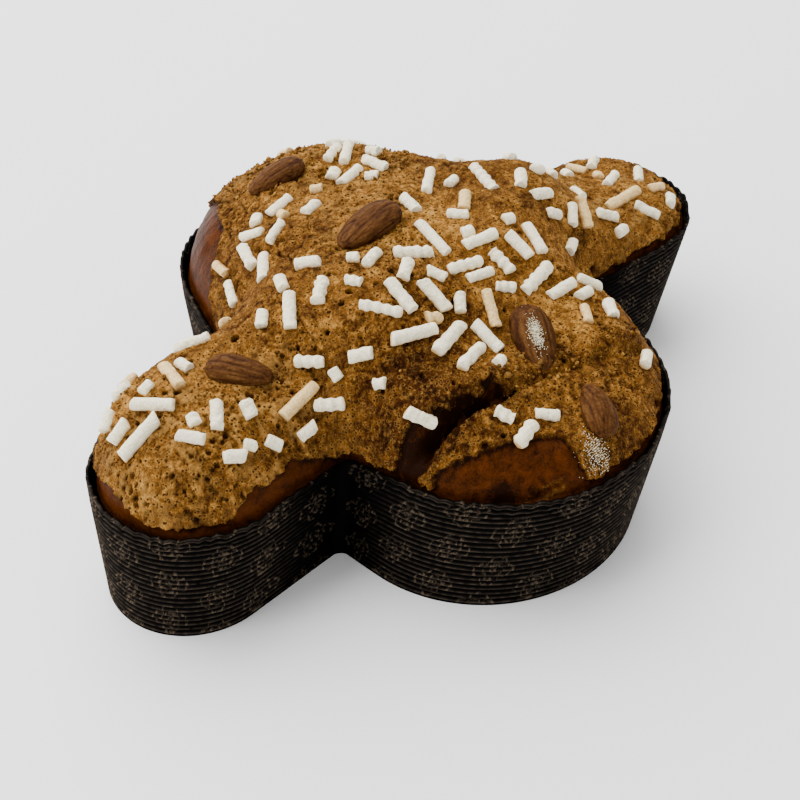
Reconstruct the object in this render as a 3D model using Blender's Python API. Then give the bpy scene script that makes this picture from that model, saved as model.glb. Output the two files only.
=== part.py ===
"""Colomba cake: a dove-shaped festive loaf baked in its paper case, with almonds and sugar rods.

Sizes below are in millimetres and are turned to metres as each mesh is made. +X runs from the
dove's tail to its head, +Y towards its right wing, and +Z up. The origin is at the middle of the
case's foot.
"""
import math

import bmesh
import bpy
import numpy as np
from mathutils import Matrix, Vector

MM = 0.001

# Paper case
CASE_HEIGHT = 50.0
PAPER = 1.2
FLOOR = 1.2
GAP = 0.3
WALL_GAP = 0.6

# Each lobe of the case: centre and radius at the foot, then at the flared rim
TAIL = ((-108.0, -6.0), 31.5, (-99.5, -7.0), 38.0)
LEFT_WING = ((-7.5, -47.3), 56.8, (-1.5, -51.0), 59.2)
HEAD = ((95.5, -2.5), 29.5, (104.5, -2.0), 35.5)
RIGHT_WING = ((0.0, 48.0), 54.5, (2.0, 53.0), 56.0)

# Each notch between two lobes: centre of its small outer fold at the foot, then at the rim
NOTCH_RADIUS = 4.0
NOTCH_TAIL_LEFT = ((-69.4, -39.6), (-68.4, -46.4))
NOTCH_LEFT_HEAD = ((60.0, -37.0), (62.4, -38.4))
NOTCH_HEAD_RIGHT = ((58.8, 33.8), (62.0, 36.8))
NOTCH_RIGHT_TAIL = ((-68.4, 32.4), (-65.4, 36.4))
BELT = (
    (TAIL, NOTCH_TAIL_LEFT),
    (LEFT_WING, NOTCH_LEFT_HEAD),
    (HEAD, NOTCH_HEAD_RIGHT),
    (RIGHT_WING, NOTCH_RIGHT_TAIL),
)
LOBE_STEPS = 20
NOTCH_STEPS = 4

# Crust: it shrinks away from the paper below the rim, and its edge stays under the rim
SHRINK = 1.2
SHRINK_FROM = 43.0
EDGE_HEIGHT = 47.5

# Crust: x, y, height over the rim, reach in plan, and width of the rounded shoulder
CROWNS = (
    (-99.0, -4.0, 23.5, 22.0, 30.0),
    (-97.0, 16.0, 31.0, 13.0, 19.0),
    (6.0, -70.0, 18.0, 22.0, 35.0),
    (104.0, 0.0, 9.0, 20.0, 25.0),
    (-8.0, 66.0, 33.0, 26.0, 48.0),
    (6.0, 6.0, 42.0, 36.0, 39.0),
    (48.0, 10.0, 35.0, 20.0, 27.0),
    (30.0, 40.0, 37.5, 18.0, 31.0),
    (46.0, 24.0, 51.0, 11.0, 22.0),
)
SHOULDER_POWER = 0.6
LUMP_HEIGHT = 1.1
LUMP_LENGTHS = (11.0, 9.0)
LUMP_FADE = 10.0

# Crack across the left wing: the crown breaks off in a low cliff over the wing's own crust
CRACK_LINE = (-30.0, -68.3, -0.19)
CRACK_ENDS = (-66.0, -54.0, 34.0, 50.0)
CRACK_OPEN = (-10.0, -24.0)
CRACK_DEPTH = 8.0
CRACK_WIDTH = 3.0
CLIFF_RISE = 3.6
CLIFF_WIDTH = 10.0
WING_DROP = 3.0

# Rings of the crust's mesh, as shares of the outline, from the rim inwards
RING_SHARES = (
    0.985, 0.962, 0.93, 0.89, 0.85, 0.81, 0.77, 0.73, 0.69, 0.65, 0.61, 0.56, 0.49, 0.40, 0.28, 0.14
)

# Almonds: x, y, heading of the pointed end in degrees, length
ALMONDS = (
    (-8.2, 62.3, 170.0, 24.0),
    (-10.6, 5.6, -177.0, 27.5),
    (-80.0, -8.3, -55.0, 23.0),
    (4.1, -60.5, -118.0, 27.0),
    (1.3, -92.8, 65.0, 20.5),
)
ALMOND_WIDTH_SHARE = 0.56
ALMOND_THICKNESS = 8.6
ALMOND_RISE = 1.6
ALMOND_TAPER = 0.20
ALMOND_TIP = 0.03
ALMOND_SEGMENTS = 14
ALMOND_RINGS = 8

# Sugar rods: x, y, spread of the patch, how many, and their mean length
ROD_PATCHES = (
    (-124.0, -4.0, 7.0, 3, 11.0),
    (-112.0, 10.0, 7.0, 3, 7.0),
    (-100.0, -25.0, 6.0, 6, 7.6),
    (-90.0, -2.0, 8.0, 4, 9.0),
    (-72.0, -33.0, 7.0, 8, 9.0),
    (-53.0, -58.0, 5.0, 2, 8.5),
    (-48.0, 44.0, 10.0, 8, 7.7),
    (-42.0, -3.0, 8.0, 6, 8.5),
    (-30.0, -30.0, 7.0, 7, 9.0),
    (-21.0, -77.0, 7.0, 4, 7.1),
    (-18.0, 48.0, 9.0, 4, 9.3),
    (-18.0, -44.0, 6.0, 7, 10.7),
    (-4.0, -17.0, 8.0, 8, 11.0),
    (13.0, -36.0, 8.0, 7, 9.0),
    (16.0, 45.0, 7.0, 7, 8.0),
    (22.0, -2.0, 10.0, 6, 11.0),
    (33.0, -54.0, 6.0, 4, 11.0),
    (36.0, -85.0, 3.0, 2, 5.7),
    (57.0, -5.0, 6.0, 4, 7.0),
    (76.0, -20.0, 8.0, 8, 9.1),
    (112.0, -14.0, 8.0, 6, 9.7),
    (113.0, 13.0, 8.0, 4, 7.6),
    (30.0, 72.0, 12.0, 3, 9.0),
    (52.0, 30.0, 9.0, 3, 8.0),
)
ROD_SEED = 4053
ROD_TRIES = 60
ROD_RADIUS = 2.1
ROD_RADIUS_SPREAD = 0.12
ROD_LENGTH_SPREAD = 0.42
ROD_LENGTH_LIMITS = (4.2, 17.0)
ROD_RISE = 1.0
ROD_SIDES = 8
ROD_SPACING = 4.7
ROD_RIM_CLEARANCE = 5.0
ROD_ALMOND_ROOM = (17.0, 11.4)


def mix(low, high, share):
    """Return the value a given share of the way from low to high, for numbers or points."""
    return np.asarray(low, float) * (1.0 - share) + np.asarray(high, float) * share


def outline(share, inset):
    """Return the case's plan at a share of its height, moved inwards by inset.

    The plan is a belt: it runs round each lobe's circle on the outside, and round each notch's
    small circle on the other side, with straight crossed tangents between them.
    """
    circles = []
    for lobe, notch in BELT:
        circles.append((mix(lobe[0], lobe[2], share), mix(lobe[1], lobe[3], share) - inset, 1))
        circles.append((mix(notch[0], notch[1], share), NOTCH_RADIUS + inset, -1))
    headings = []
    for index, (centre, radius, side) in enumerate(circles):
        next_centre, next_radius, _ = circles[(index + 1) % len(circles)]
        step = next_centre - centre
        reach = math.hypot(step[0], step[1])
        both = radius + next_radius
        lean = math.atan2(both, math.sqrt(reach * reach - both * both))
        headings.append(math.atan2(step[1], step[0]) + side * lean)
    points = []
    for index, (centre, radius, side) in enumerate(circles):
        start = headings[index - 1]
        turn = (headings[index] - start) % (2.0 * math.pi)
        if side < 0:
            turn -= 2.0 * math.pi
        steps = LOBE_STEPS if side > 0 else NOTCH_STEPS
        angles = start + turn * np.linspace(0.0, 1.0, steps + 1)
        points.append(centre + side * radius * np.column_stack([np.sin(angles), -np.cos(angles)]))
    return np.concatenate(points)


CRUST_OUTLINE = outline(1.0, PAPER + WALL_GAP + SHRINK)


def edge_distance(x, y):
    """Return how far inside the crust's outline each point lies."""
    near = np.full(np.shape(x), np.inf)
    for start, end in zip(CRUST_OUTLINE, np.roll(CRUST_OUTLINE, -1, axis=0)):
        run = end - start
        along = ((x - start[0]) * run[0] + (y - start[1]) * run[1]) / max(run @ run, 1e-9)
        along = np.clip(along, 0.0, 1.0)
        near = np.minimum(near, np.hypot(x - start[0] - along * run[0], y - start[1] - along * run[1]))
    return near


def smooth_rise(low, high, value):
    """Return a smooth step from 0 at low to 1 at high."""
    share = np.clip((value - low) / (high - low), 0.0, 1.0)
    return share * share * (3.0 - 2.0 * share)


def crust_height(x, y):
    """Return the crust's height: blended crowns with round shoulders, soft lumps and one crack."""
    distance = edge_distance(x, y)
    weight = rise = shoulder = 0.0
    for centre_x, centre_y, height, reach, width in CROWNS:
        pull = np.exp(-((x - centre_x) ** 2 + (y - centre_y) ** 2) / (2.0 * reach * reach)) + 1e-9
        weight = weight + pull
        rise = rise + pull * height
        shoulder = shoulder + pull * width
    share = np.clip(distance * weight / shoulder, 0.0, 1.0)
    round_share = (1.0 - (1.0 - share) ** 2) ** SHOULDER_POWER
    fade = np.clip(distance / LUMP_FADE, 0.0, 1.0)
    lumps = np.sin(x / LUMP_LENGTHS[0] + 1.3) * np.sin(y / LUMP_LENGTHS[1] + 0.4)
    lumps = lumps + 0.5 * np.sin(x / 5.3 + y / 6.1 + 2.0)
    across = y - CRACK_LINE[1] - CRACK_LINE[2] * (x - CRACK_LINE[0])
    start = smooth_rise(CRACK_ENDS[0], CRACK_ENDS[1], x)
    reach = start * smooth_rise(CRACK_ENDS[3], CRACK_ENDS[2], x)
    gape = start * smooth_rise(CRACK_OPEN[0], CRACK_OPEN[1], x)
    cliff = CLIFF_RISE * np.exp(-((across - CRACK_WIDTH) / CLIFF_WIDTH) ** 2) * (across > CRACK_WIDTH)
    cliff = cliff + CLIFF_RISE * np.exp(-((across - CRACK_WIDTH) / 1.5) ** 2) * (across <= CRACK_WIDTH)
    cliff = cliff * (0.45 + 0.55 * gape)
    cliff = cliff - CRACK_DEPTH * (0.16 + 0.84 * gape) * np.exp(-(across / CRACK_WIDTH) ** 2)
    cliff = cliff - WING_DROP * np.exp(-((across + 12.0) / 12.0) ** 2)
    edge = EDGE_HEIGHT * (1.0 - round_share) + (CASE_HEIGHT + rise / weight) * round_share
    return edge + fade * (LUMP_HEIGHT * lumps + reach * cliff)


def surface_frame(x, y):
    """Return the crust's point and its unit normal at one place in plan."""
    step = 1.5
    xs = np.array([x, x + step, x - step, x, x])
    ys = np.array([y, y, y, y + step, y - step])
    height = crust_height(xs, ys)
    slope_x = (height[1] - height[2]) / (2.0 * step)
    slope_y = (height[3] - height[4]) / (2.0 * step)
    return Vector((x, y, height[0])), Vector((-slope_x, -slope_y, 1.0)).normalized()


def lying_matrix(point, normal, heading, lift):
    """Return the matrix that lays a piece, long along its own X, on the crust."""
    along = Vector((math.cos(heading), math.sin(heading), 0.0))
    along = (along - normal * along.dot(normal)).normalized()
    side = normal.cross(along)
    turn = Matrix((along, side, normal)).transposed().to_4x4()
    return Matrix.Translation(point + normal * lift) @ turn


def rod_places():
    """Return each sugar rod's matrix, radius and length, by a seeded draw in each patch.

    The longest rods come first, and a draw too close to the rim, an almond or an earlier rod is
    thrown away.
    """
    draw = np.random.default_rng(ROD_SEED)
    rods = []
    taken = np.zeros((0, 2))
    for patch_x, patch_y, spread, count, mean_length in ROD_PATCHES:
        lengths = mean_length * (1.0 + ROD_LENGTH_SPREAD * draw.standard_normal(count))
        for length in np.sort(np.clip(lengths, *ROD_LENGTH_LIMITS))[::-1]:
            for _ in range(ROD_TRIES):
                x, y = draw.normal((patch_x, patch_y), spread)
                heading = draw.uniform(0.0, math.pi)
                radius = ROD_RADIUS * (1.0 + ROD_RADIUS_SPREAD * draw.uniform(-1.0, 1.0))
                half = 0.5 * length - 0.5 * radius
                steps = np.linspace(-half, half, 3)
                spots = np.column_stack([x + steps * math.cos(heading), y + steps * math.sin(heading)])
                if rods_clear(spots, taken):
                    point, normal = surface_frame(x, y)
                    rods.append((lying_matrix(point, normal, heading, ROD_RISE), radius, length))
                    taken = np.concatenate([taken, spots])
                    break
    return rods


def rods_clear(spots, taken):
    """Say whether a rod's points keep clear of the outline, the almonds and the other rods."""
    if not in_outline(spots).all():
        return False
    if edge_distance(spots[:, 0], spots[:, 1]).min() < ROD_RIM_CLEARANCE:
        return False
    for x, y, heading, _ in ALMONDS:
        turn = math.radians(heading)
        along = (spots[:, 0] - x) * math.cos(turn) + (spots[:, 1] - y) * math.sin(turn)
        across = (spots[:, 1] - y) * math.cos(turn) - (spots[:, 0] - x) * math.sin(turn)
        if ((along / ROD_ALMOND_ROOM[0]) ** 2 + (across / ROD_ALMOND_ROOM[1]) ** 2).min() < 1.0:
            return False
    if len(taken) == 0:
        return True
    gaps = spots[:, None, :] - taken[None, :, :]
    return np.hypot(gaps[..., 0], gaps[..., 1]).min() > ROD_SPACING


def in_outline(spots):
    """Say which points lie inside the crust's outline, by crossing each of its sides."""
    inside = np.zeros(len(spots), bool)
    x, y = spots[:, 0], spots[:, 1]
    for start, end in zip(CRUST_OUTLINE, np.roll(CRUST_OUTLINE, -1, axis=0)):
        if start[1] != end[1]:
            crossing = start[0] + (y - start[1]) * (end[0] - start[0]) / (end[1] - start[1])
            inside ^= ((start[1] > y) != (end[1] > y)) & (x < crossing)
    return inside


def make_material(name, colour, roughness):
    """Return a plain Principled material."""
    material = bpy.data.materials.new(name)
    material.use_nodes = True
    shader = material.node_tree.nodes["Principled BSDF"]
    shader.inputs["Base Color"].default_value = (*colour, 1.0)
    shader.inputs["Roughness"].default_value = roughness
    shader.inputs["Metallic"].default_value = 0.0
    return material


def new_object(name, builder, collection, material=None):
    """Make an object from a bmesh, in metres, in a collection."""
    mesh = bpy.data.meshes.new(name)
    bmesh.ops.recalc_face_normals(builder, faces=builder.faces)
    bmesh.ops.scale(builder, vec=(MM, MM, MM), verts=builder.verts)
    builder.to_mesh(mesh)
    builder.free()
    made = bpy.data.objects.new(name, mesh)
    collection.objects.link(made)
    if material is not None:
        mesh.materials.append(material)
    return made


def loft(rings, last_point=None):
    """Return a closed bmesh through stacked loops of equal length.

    The first loop is closed by a flat face. The last is closed by a flat face too, or by a fan to
    last_point.
    """
    builder = bmesh.new()
    loops = [[builder.verts.new(point) for point in ring] for ring in rings]
    for lower, upper in zip(loops, loops[1:]):
        count = len(lower)
        for index in range(count):
            after = (index + 1) % count
            builder.faces.new((lower[index], lower[after], upper[after], upper[index]))
    builder.faces.new(loops[0])
    if last_point is None:
        builder.faces.new(loops[-1])
    else:
        top = builder.verts.new(last_point)
        for index, vertex in enumerate(loops[-1]):
            builder.faces.new((vertex, loops[-1][(index + 1) % len(loops[-1])], top))
    bmesh.ops.triangulate(builder, faces=builder.faces)
    return builder


def ring_at(plan, height):
    """Return a plan as points at one height, or at a height for each point."""
    return np.column_stack([plan, np.broadcast_to(height, len(plan))])


def build_case(collection):
    """Make the paper case: a flared wall that follows the plan, over a flat floor."""
    paper = make_material("case_paper", (0.012, 0.009, 0.007), 0.75)
    floor_share = FLOOR / CASE_HEIGHT
    rings = [
        ring_at(outline(0.0, 0.0), 0.0),
        ring_at(outline(1.0, 0.0), CASE_HEIGHT),
        ring_at(outline(1.0, PAPER), CASE_HEIGHT),
        ring_at(outline(floor_share, PAPER), FLOOR),
    ]
    case = new_object("paper_case", loft(rings), collection, paper)
    case.data.shade_smooth()
    case.data.set_sharp_from_angle(angle=math.radians(35.0))
    return case


def build_cake_core(collection):
    """Make the bare cake: the dough inside the case and the domed crust over it."""
    crust = make_material("crust", (0.30, 0.135, 0.035), 0.7)
    bottom = FLOOR + GAP
    top = CRUST_OUTLINE
    foot = outline(bottom / CASE_HEIGHT, PAPER + WALL_GAP)
    rim = outline(1.0, PAPER + WALL_GAP)
    rings = [
        ring_at(foot, bottom),
        ring_at(mix(foot, rim, (SHRINK_FROM - bottom) / (CASE_HEIGHT - bottom)), SHRINK_FROM),
        ring_at(top, EDGE_HEIGHT),
    ]
    for share in RING_SHARES:
        plan = top * share
        rings.append(ring_at(plan, crust_height(plan[:, 0], plan[:, 1])))
    middle = float(crust_height(np.zeros(1), np.zeros(1))[0])
    return new_object("cake", loft(rings, (0.0, 0.0, middle)), collection, crust)


def almond_body(length, grow):
    """Return an almond as a bmesh: a flattened sphere, tapered to a soft point at +X."""
    builder = bmesh.new()
    bmesh.ops.create_uvsphere(builder, u_segments=ALMOND_SEGMENTS, v_segments=ALMOND_RINGS, radius=1.0)
    bmesh.ops.rotate(builder, verts=builder.verts, matrix=Matrix.Rotation(math.pi / 2.0, 3, "Y"))
    half = (0.5 * length + grow, 0.5 * length * ALMOND_WIDTH_SHARE + grow, 0.5 * ALMOND_THICKNESS + grow)
    for vertex in builder.verts:
        share = vertex.co.x
        narrow = 1.0 - ALMOND_TAPER * share
        vertex.co.x = half[0] * (share + ALMOND_TIP * max(share, 0.0) ** 3) / (1.0 + 0.5 * ALMOND_TIP)
        vertex.co.y = half[1] * vertex.co.y * narrow
        vertex.co.z = half[2] * vertex.co.z * narrow
    return builder


def build_almonds(collection, cutters):
    """Make the almonds, each half sunk in the crust, and the sockets that they lie in."""
    skin = make_material("almond_skin", (0.13, 0.055, 0.022), 0.6)
    almonds = []
    for number, (x, y, heading, length) in enumerate(ALMONDS, start=1):
        point, normal = surface_frame(x, y)
        place = lying_matrix(point, normal, math.radians(heading), ALMOND_RISE)
        body = almond_body(length, 0.0)
        bmesh.ops.transform(body, matrix=place, verts=body.verts)
        almond = new_object(f"almond_{number}", body, collection, skin)
        almond.data.shade_smooth()
        almonds.append(almond)
        socket = almond_body(length, 1.5 * GAP)
        bmesh.ops.transform(socket, matrix=place, verts=socket.verts)
        cutter = new_object(f"almond_socket_{number}", socket, cutters)
        cutter.hide_render = True
        cutter.display_type = "WIRE"
    return almonds


def build_rods(rods_collection):
    """Make every sugar rod as a short eight-sided bar, ready to be joined to the crust."""
    for number, (place, radius, length) in enumerate(rod_places(), start=1):
        rod = bmesh.new()
        bmesh.ops.create_cone(
            rod,
            cap_ends=True,
            segments=ROD_SIDES,
            radius1=radius,
            radius2=radius,
            depth=length,
            matrix=place @ Matrix.Rotation(math.pi / 2.0, 4, "Y"),
        )
        new_object(f"sugar_rod_{number}", rod, rods_collection)


def add_boolean(target, name, operation, operand):
    """Add an exact Boolean with a whole collection to an object."""
    boolean = target.modifiers.new(name, "BOOLEAN")
    boolean.operation = operation
    boolean.operand_type = "COLLECTION"
    boolean.collection = operand
    boolean.solver = "EXACT"


def apply_modifiers(target):
    """Replace an object's mesh by its evaluated one, and clear its modifiers."""
    graph = bpy.context.evaluated_depsgraph_get()
    mesh = bpy.data.meshes.new_from_object(target.evaluated_get(graph))
    target.modifiers.clear()
    target.data = mesh


def clean_mesh(target):
    """Merge points closer than 10 micrometres and leave only triangles."""
    builder = bmesh.new()
    builder.from_mesh(target.data)
    bmesh.ops.triangulate(builder, faces=builder.faces)
    bmesh.ops.remove_doubles(builder, verts=builder.verts, dist=0.00001)
    bmesh.ops.dissolve_degenerate(builder, edges=builder.edges, dist=0.00001)
    bmesh.ops.triangulate(builder, faces=builder.faces)
    builder.to_mesh(target.data)
    builder.free()


def remove_scene_objects():
    """Empty the scene of its default objects."""
    for leftover in list(bpy.data.objects):
        bpy.data.objects.remove(leftover, do_unlink=True)


def new_collection(name):
    """Make a collection in the scene."""
    collection = bpy.data.collections.new(name)
    bpy.context.scene.collection.children.link(collection)
    return collection


def main():
    """Build the case, the almonds, and the cake with its sockets and sugar rods."""
    remove_scene_objects()
    parts = new_collection("colomba_cake")
    cutters = new_collection("cutters")
    rods = new_collection("sugar_rods")
    build_case(parts)
    cake = build_cake_core(parts)
    build_almonds(parts, cutters)
    build_rods(rods)
    add_boolean(cake, "almond_sockets", "DIFFERENCE", cutters)
    apply_modifiers(cake)
    add_boolean(cake, "sugar_rods", "UNION", rods)
    apply_modifiers(cake)
    for rod in list(rods.objects):
        bpy.data.objects.remove(rod, do_unlink=True)
    bpy.data.collections.remove(rods)
    clean_mesh(cake)
    cake.data.shade_smooth()
    cake.data.set_sharp_from_angle(angle=math.radians(40.0))


main()
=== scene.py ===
"""Looks of a colomba cake: pitted crust, bare dough, sugar rods, almonds and a ribbed paper case.

Every shape is worked out in millimetres, in the frame's own axes, and becomes metres when its
mesh is made. +X runs from the dove's tail to its head, +Y towards its right wing, +Z up.
"""
import logging
import math
from dataclasses import dataclass, field
from enum import Enum

import bpy
import numpy as np
from mathutils import Matrix, Vector


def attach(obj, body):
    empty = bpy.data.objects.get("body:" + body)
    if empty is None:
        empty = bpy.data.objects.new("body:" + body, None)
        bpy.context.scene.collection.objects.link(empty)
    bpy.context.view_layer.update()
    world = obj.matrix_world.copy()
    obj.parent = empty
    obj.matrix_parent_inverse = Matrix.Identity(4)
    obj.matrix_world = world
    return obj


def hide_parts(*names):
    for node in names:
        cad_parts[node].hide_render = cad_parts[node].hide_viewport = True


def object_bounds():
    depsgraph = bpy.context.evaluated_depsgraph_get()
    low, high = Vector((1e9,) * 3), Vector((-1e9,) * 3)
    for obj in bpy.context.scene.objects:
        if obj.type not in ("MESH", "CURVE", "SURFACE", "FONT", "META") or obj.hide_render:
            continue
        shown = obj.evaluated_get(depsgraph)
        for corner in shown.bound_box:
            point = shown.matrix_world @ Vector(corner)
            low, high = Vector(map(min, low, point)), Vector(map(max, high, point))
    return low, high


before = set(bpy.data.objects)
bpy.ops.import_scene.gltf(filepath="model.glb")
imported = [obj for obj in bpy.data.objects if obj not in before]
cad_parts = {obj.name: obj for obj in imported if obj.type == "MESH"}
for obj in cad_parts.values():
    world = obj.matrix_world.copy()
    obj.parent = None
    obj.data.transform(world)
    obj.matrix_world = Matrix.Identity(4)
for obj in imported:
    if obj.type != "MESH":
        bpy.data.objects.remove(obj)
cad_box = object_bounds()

LOG = logging.getLogger("colomba")
MM = 0.001
Colour = tuple[float, float, float, float]
Grid = np.ndarray
Tree = bpy.types.NodeTree
Socket = bpy.types.NodeSocket


def srgb(code: str) -> Colour:
    """Turn an sRGB hex code into a linear colour.

    Args:
        code: six hex digits after a hash sign.

    Returns:
        The linear red, green, blue and an alpha of one.
    """
    parts = [int(code[place : place + 2], 16) / 255.0 for place in (1, 3, 5)]
    linear = [part / 12.92 if part <= 0.04045 else ((part + 0.055) / 1.055) ** 2.4 for part in parts]
    return (*linear, 1.0)


def add_node(
    tree: Tree, kind: str, settings: dict | None = None, inputs: dict | None = None
) -> bpy.types.Node:
    """Add a shader node with its settings and inputs.

    Args:
        tree: the material's or world's node tree.
        kind: the node's type name.
        settings: values for the node's own properties.
        inputs: a value or an output socket for each named or numbered input.

    Returns:
        The new node.
    """
    node = tree.nodes.new(kind)
    for name, value in (settings or {}).items():
        setattr(node, name, value)
    for name, value in (inputs or {}).items():
        if isinstance(value, bpy.types.NodeSocket):
            tree.links.new(value, node.inputs[name])
        else:
            node.inputs[name].default_value = value
    return node


def ramp(tree: Tree, value: Socket, stops: list[tuple[float, str]]) -> Socket:
    """Turn a value into a colour by a ramp.

    Args:
        tree: the material's node tree.
        value: the number that picks the colour.
        stops: places from 0 to 1 with their hex colours.

    Returns:
        The colour.
    """
    node = add_node(tree, "ShaderNodeValToRGB", inputs={"Fac": value})
    elements = node.color_ramp.elements
    while len(elements) > 1:
        elements.remove(elements[-1])
    elements[0].position = stops[0][0]
    elements[0].color = srgb(stops[0][1])
    for place, code in stops[1:]:
        elements.new(place).color = srgb(code)
    return node.outputs["Color"]


def noise(
    tree: Tree, place: Socket, size: float, detail: float = 2.0, rough: float = 0.5, bend: float = 0.0
) -> bpy.types.Node:
    """Add a noise whose coarsest lumps have one size, in the unit of its place."""
    inputs = {"Vector": place, "Scale": 1.0 / size, "Detail": detail, "Roughness": rough, "Distortion": bend}
    return add_node(tree, "ShaderNodeTexNoise", inputs=inputs)


def arithmetic(tree: Tree, operation: str, *values: Socket | float) -> Socket:
    """Return the result of one arithmetic node."""
    return add_node(tree, "ShaderNodeMath", {"operation": operation}, dict(enumerate(values))).outputs[0]


def moved_place(tree: Tree, shift: Socket, scale: tuple[float, float, float], place: Socket) -> Socket:
    """Return a place moved by a colour's parts times a scale."""
    inputs = {0: shift, 1: scale, 2: place}
    return add_node(tree, "ShaderNodeVectorMath", {"operation": "MULTIPLY_ADD"}, inputs).outputs[0]


def spread(
    tree: Tree, value: Socket, low: float, high: float, ends: tuple[float, float] = (0.0, 1.0)
) -> Socket:
    """Return a value's place between low and high, laid out between two ends."""
    inputs = {"Value": value, "From Min": low, "From Max": high, "To Min": ends[0], "To Max": ends[1]}
    return add_node(tree, "ShaderNodeMapRange", inputs=inputs).outputs["Result"]


def blend(tree: Tree, share: Socket, low: Socket | Colour, high: Socket | Colour) -> Socket:
    """Return a colour a share of the way from low to high."""
    inputs = {"Factor": share, "A": low, "B": high}
    return add_node(tree, "ShaderNodeMix", {"data_type": "RGBA"}, inputs).outputs["Result"]


def attribute(tree: Tree, name: str) -> Socket:
    """Return a number that the mesh keeps at its corners."""
    return add_node(tree, "ShaderNodeAttribute", {"attribute_name": name}).outputs["Fac"]


def roughen(
    tree: Tree, shader: bpy.types.Node, height: Socket, depth_mm: float, strength: Socket | float = 1.0
) -> None:
    """Bump a shader's surface by a height, up to a depth in millimetres."""
    inputs = {"Strength": strength, "Distance": depth_mm * MM, "Height": height}
    node = add_node(tree, "ShaderNodeBump", inputs=inputs)
    tree.links.new(node.outputs["Normal"], shader.inputs["Normal"])


def fresh_material(name: str) -> tuple[bpy.types.Material, Tree, bpy.types.Node]:
    """Make an empty node material with a Principled shader on its output.

    Args:
        name: the finish's plain name.

    Returns:
        The material, its tree and its shader.
    """
    material = bpy.data.materials.new(name)
    material.use_nodes = True
    tree = material.node_tree
    tree.nodes.clear()
    shader = add_node(tree, "ShaderNodeBsdfPrincipled")
    add_node(tree, "ShaderNodeOutputMaterial", inputs={"Surface": shader.outputs["BSDF"]})
    return material, tree, shader


def smoothstep(low: float, high: float, value: Grid) -> Grid:
    """Rise smoothly from 0 at low to 1 at high."""
    share = np.clip((value - low) / (high - low), 0.0, 1.0)
    return share * share * (3.0 - 2.0 * share)


def bell(off: Grid, width: Grid | float) -> Grid:
    """Fall in a bell curve from 1 at no distance, through a third at one width, to 0."""
    return np.exp(-((off / width) ** 2))


def mix(low: Grid | float, high: Grid | float, share: Grid | float) -> Grid:
    """Return the value a share of the way from low to high."""
    return np.asarray(low, float) * (1.0 - share) + np.asarray(high, float) * share


def lattice_hash(cell: Grid, salt: int) -> Grid:
    """Give each whole-number cell a repeatable number from 0 to 1.

    Args:
        cell: whole numbers, with the three axes last.
        salt: picks one of many unlike fields.

    Returns:
        One number for each cell, by multiplying, folding and masking the cell's numbers.
    """
    parts = cell.astype(np.int64)
    mixed = (parts[..., 0] * 73856093) ^ (parts[..., 1] * 19349663) ^ (parts[..., 2] * 83492791)
    mixed = (mixed ^ (salt * 2654435761)) & 0xFFFFFFFF
    mixed = ((mixed ^ (mixed >> 15)) * 2246822519) & 0xFFFFFFFF
    mixed = ((mixed ^ (mixed >> 13)) * 3266489917) & 0xFFFFFFFF
    return (mixed ^ (mixed >> 16)) / 4294967296.0


def value_noise(points: Grid, size: float, salt: int) -> Grid:
    """Blend random values at the corners of cubes of one size, from -1 to 1.

    Args:
        points: places in millimetres, with the three axes last.
        size: a cube's side in millimetres.
        salt: picks the field.

    Returns:
        The noise at each place: eight corner values weighted by smoothed distances.
    """
    scaled = points / size
    cell = np.floor(scaled)
    share = scaled - cell
    share = share * share * (3.0 - 2.0 * share)
    total = 0.0
    for corner in np.ndindex(2, 2, 2):
        weight = np.prod(np.where(corner, share, 1.0 - share), axis=-1)
        total = total + weight * lattice_hash(cell + np.array(corner), salt)
    return 2.0 * total - 1.0


def layered_noise(points: Grid, size: float, layers: int, salt: int) -> Grid:
    """Add up layers of noise, each half the size and half the strength of the one before."""
    return sum(value_noise(points, size / 2.0**k, salt + k) / 2.0**k for k in range(layers))


def craters(points: Grid, size: float, radii: tuple[float, float], share: float, salt: int) -> Grid:
    """Return how deep each place lies in the nearest round bubble, from 0 to 1.

    Args:
        points: places in millimetres, with the three axes last.
        size: side of the cubes that hold one bubble each.
        radii: smallest and largest bubble radius.
        share: share of the cubes that hold a bubble.
        salt: picks the field.

    Returns:
        The largest of one minus the squared distance over the squared radius, for the 27 cubes
        round each place.
    """
    cell = np.floor(points / size)
    deepest = np.zeros(points.shape[:-1])
    for offset in np.ndindex(3, 3, 3):
        near = cell + np.array(offset) - 1.0
        centre = np.stack([near[..., k] + lattice_hash(near, salt + k) for k in range(3)], -1) * size
        radius = mix(*radii, lattice_hash(near, salt + 3) ** 2)
        held = lattice_hash(near, salt + 4) < share
        gap = ((points - centre) ** 2).sum(-1) / radius**2
        deepest = np.maximum(deepest, np.where(held, 1.0 - gap, 0.0))
    return deepest


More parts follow.
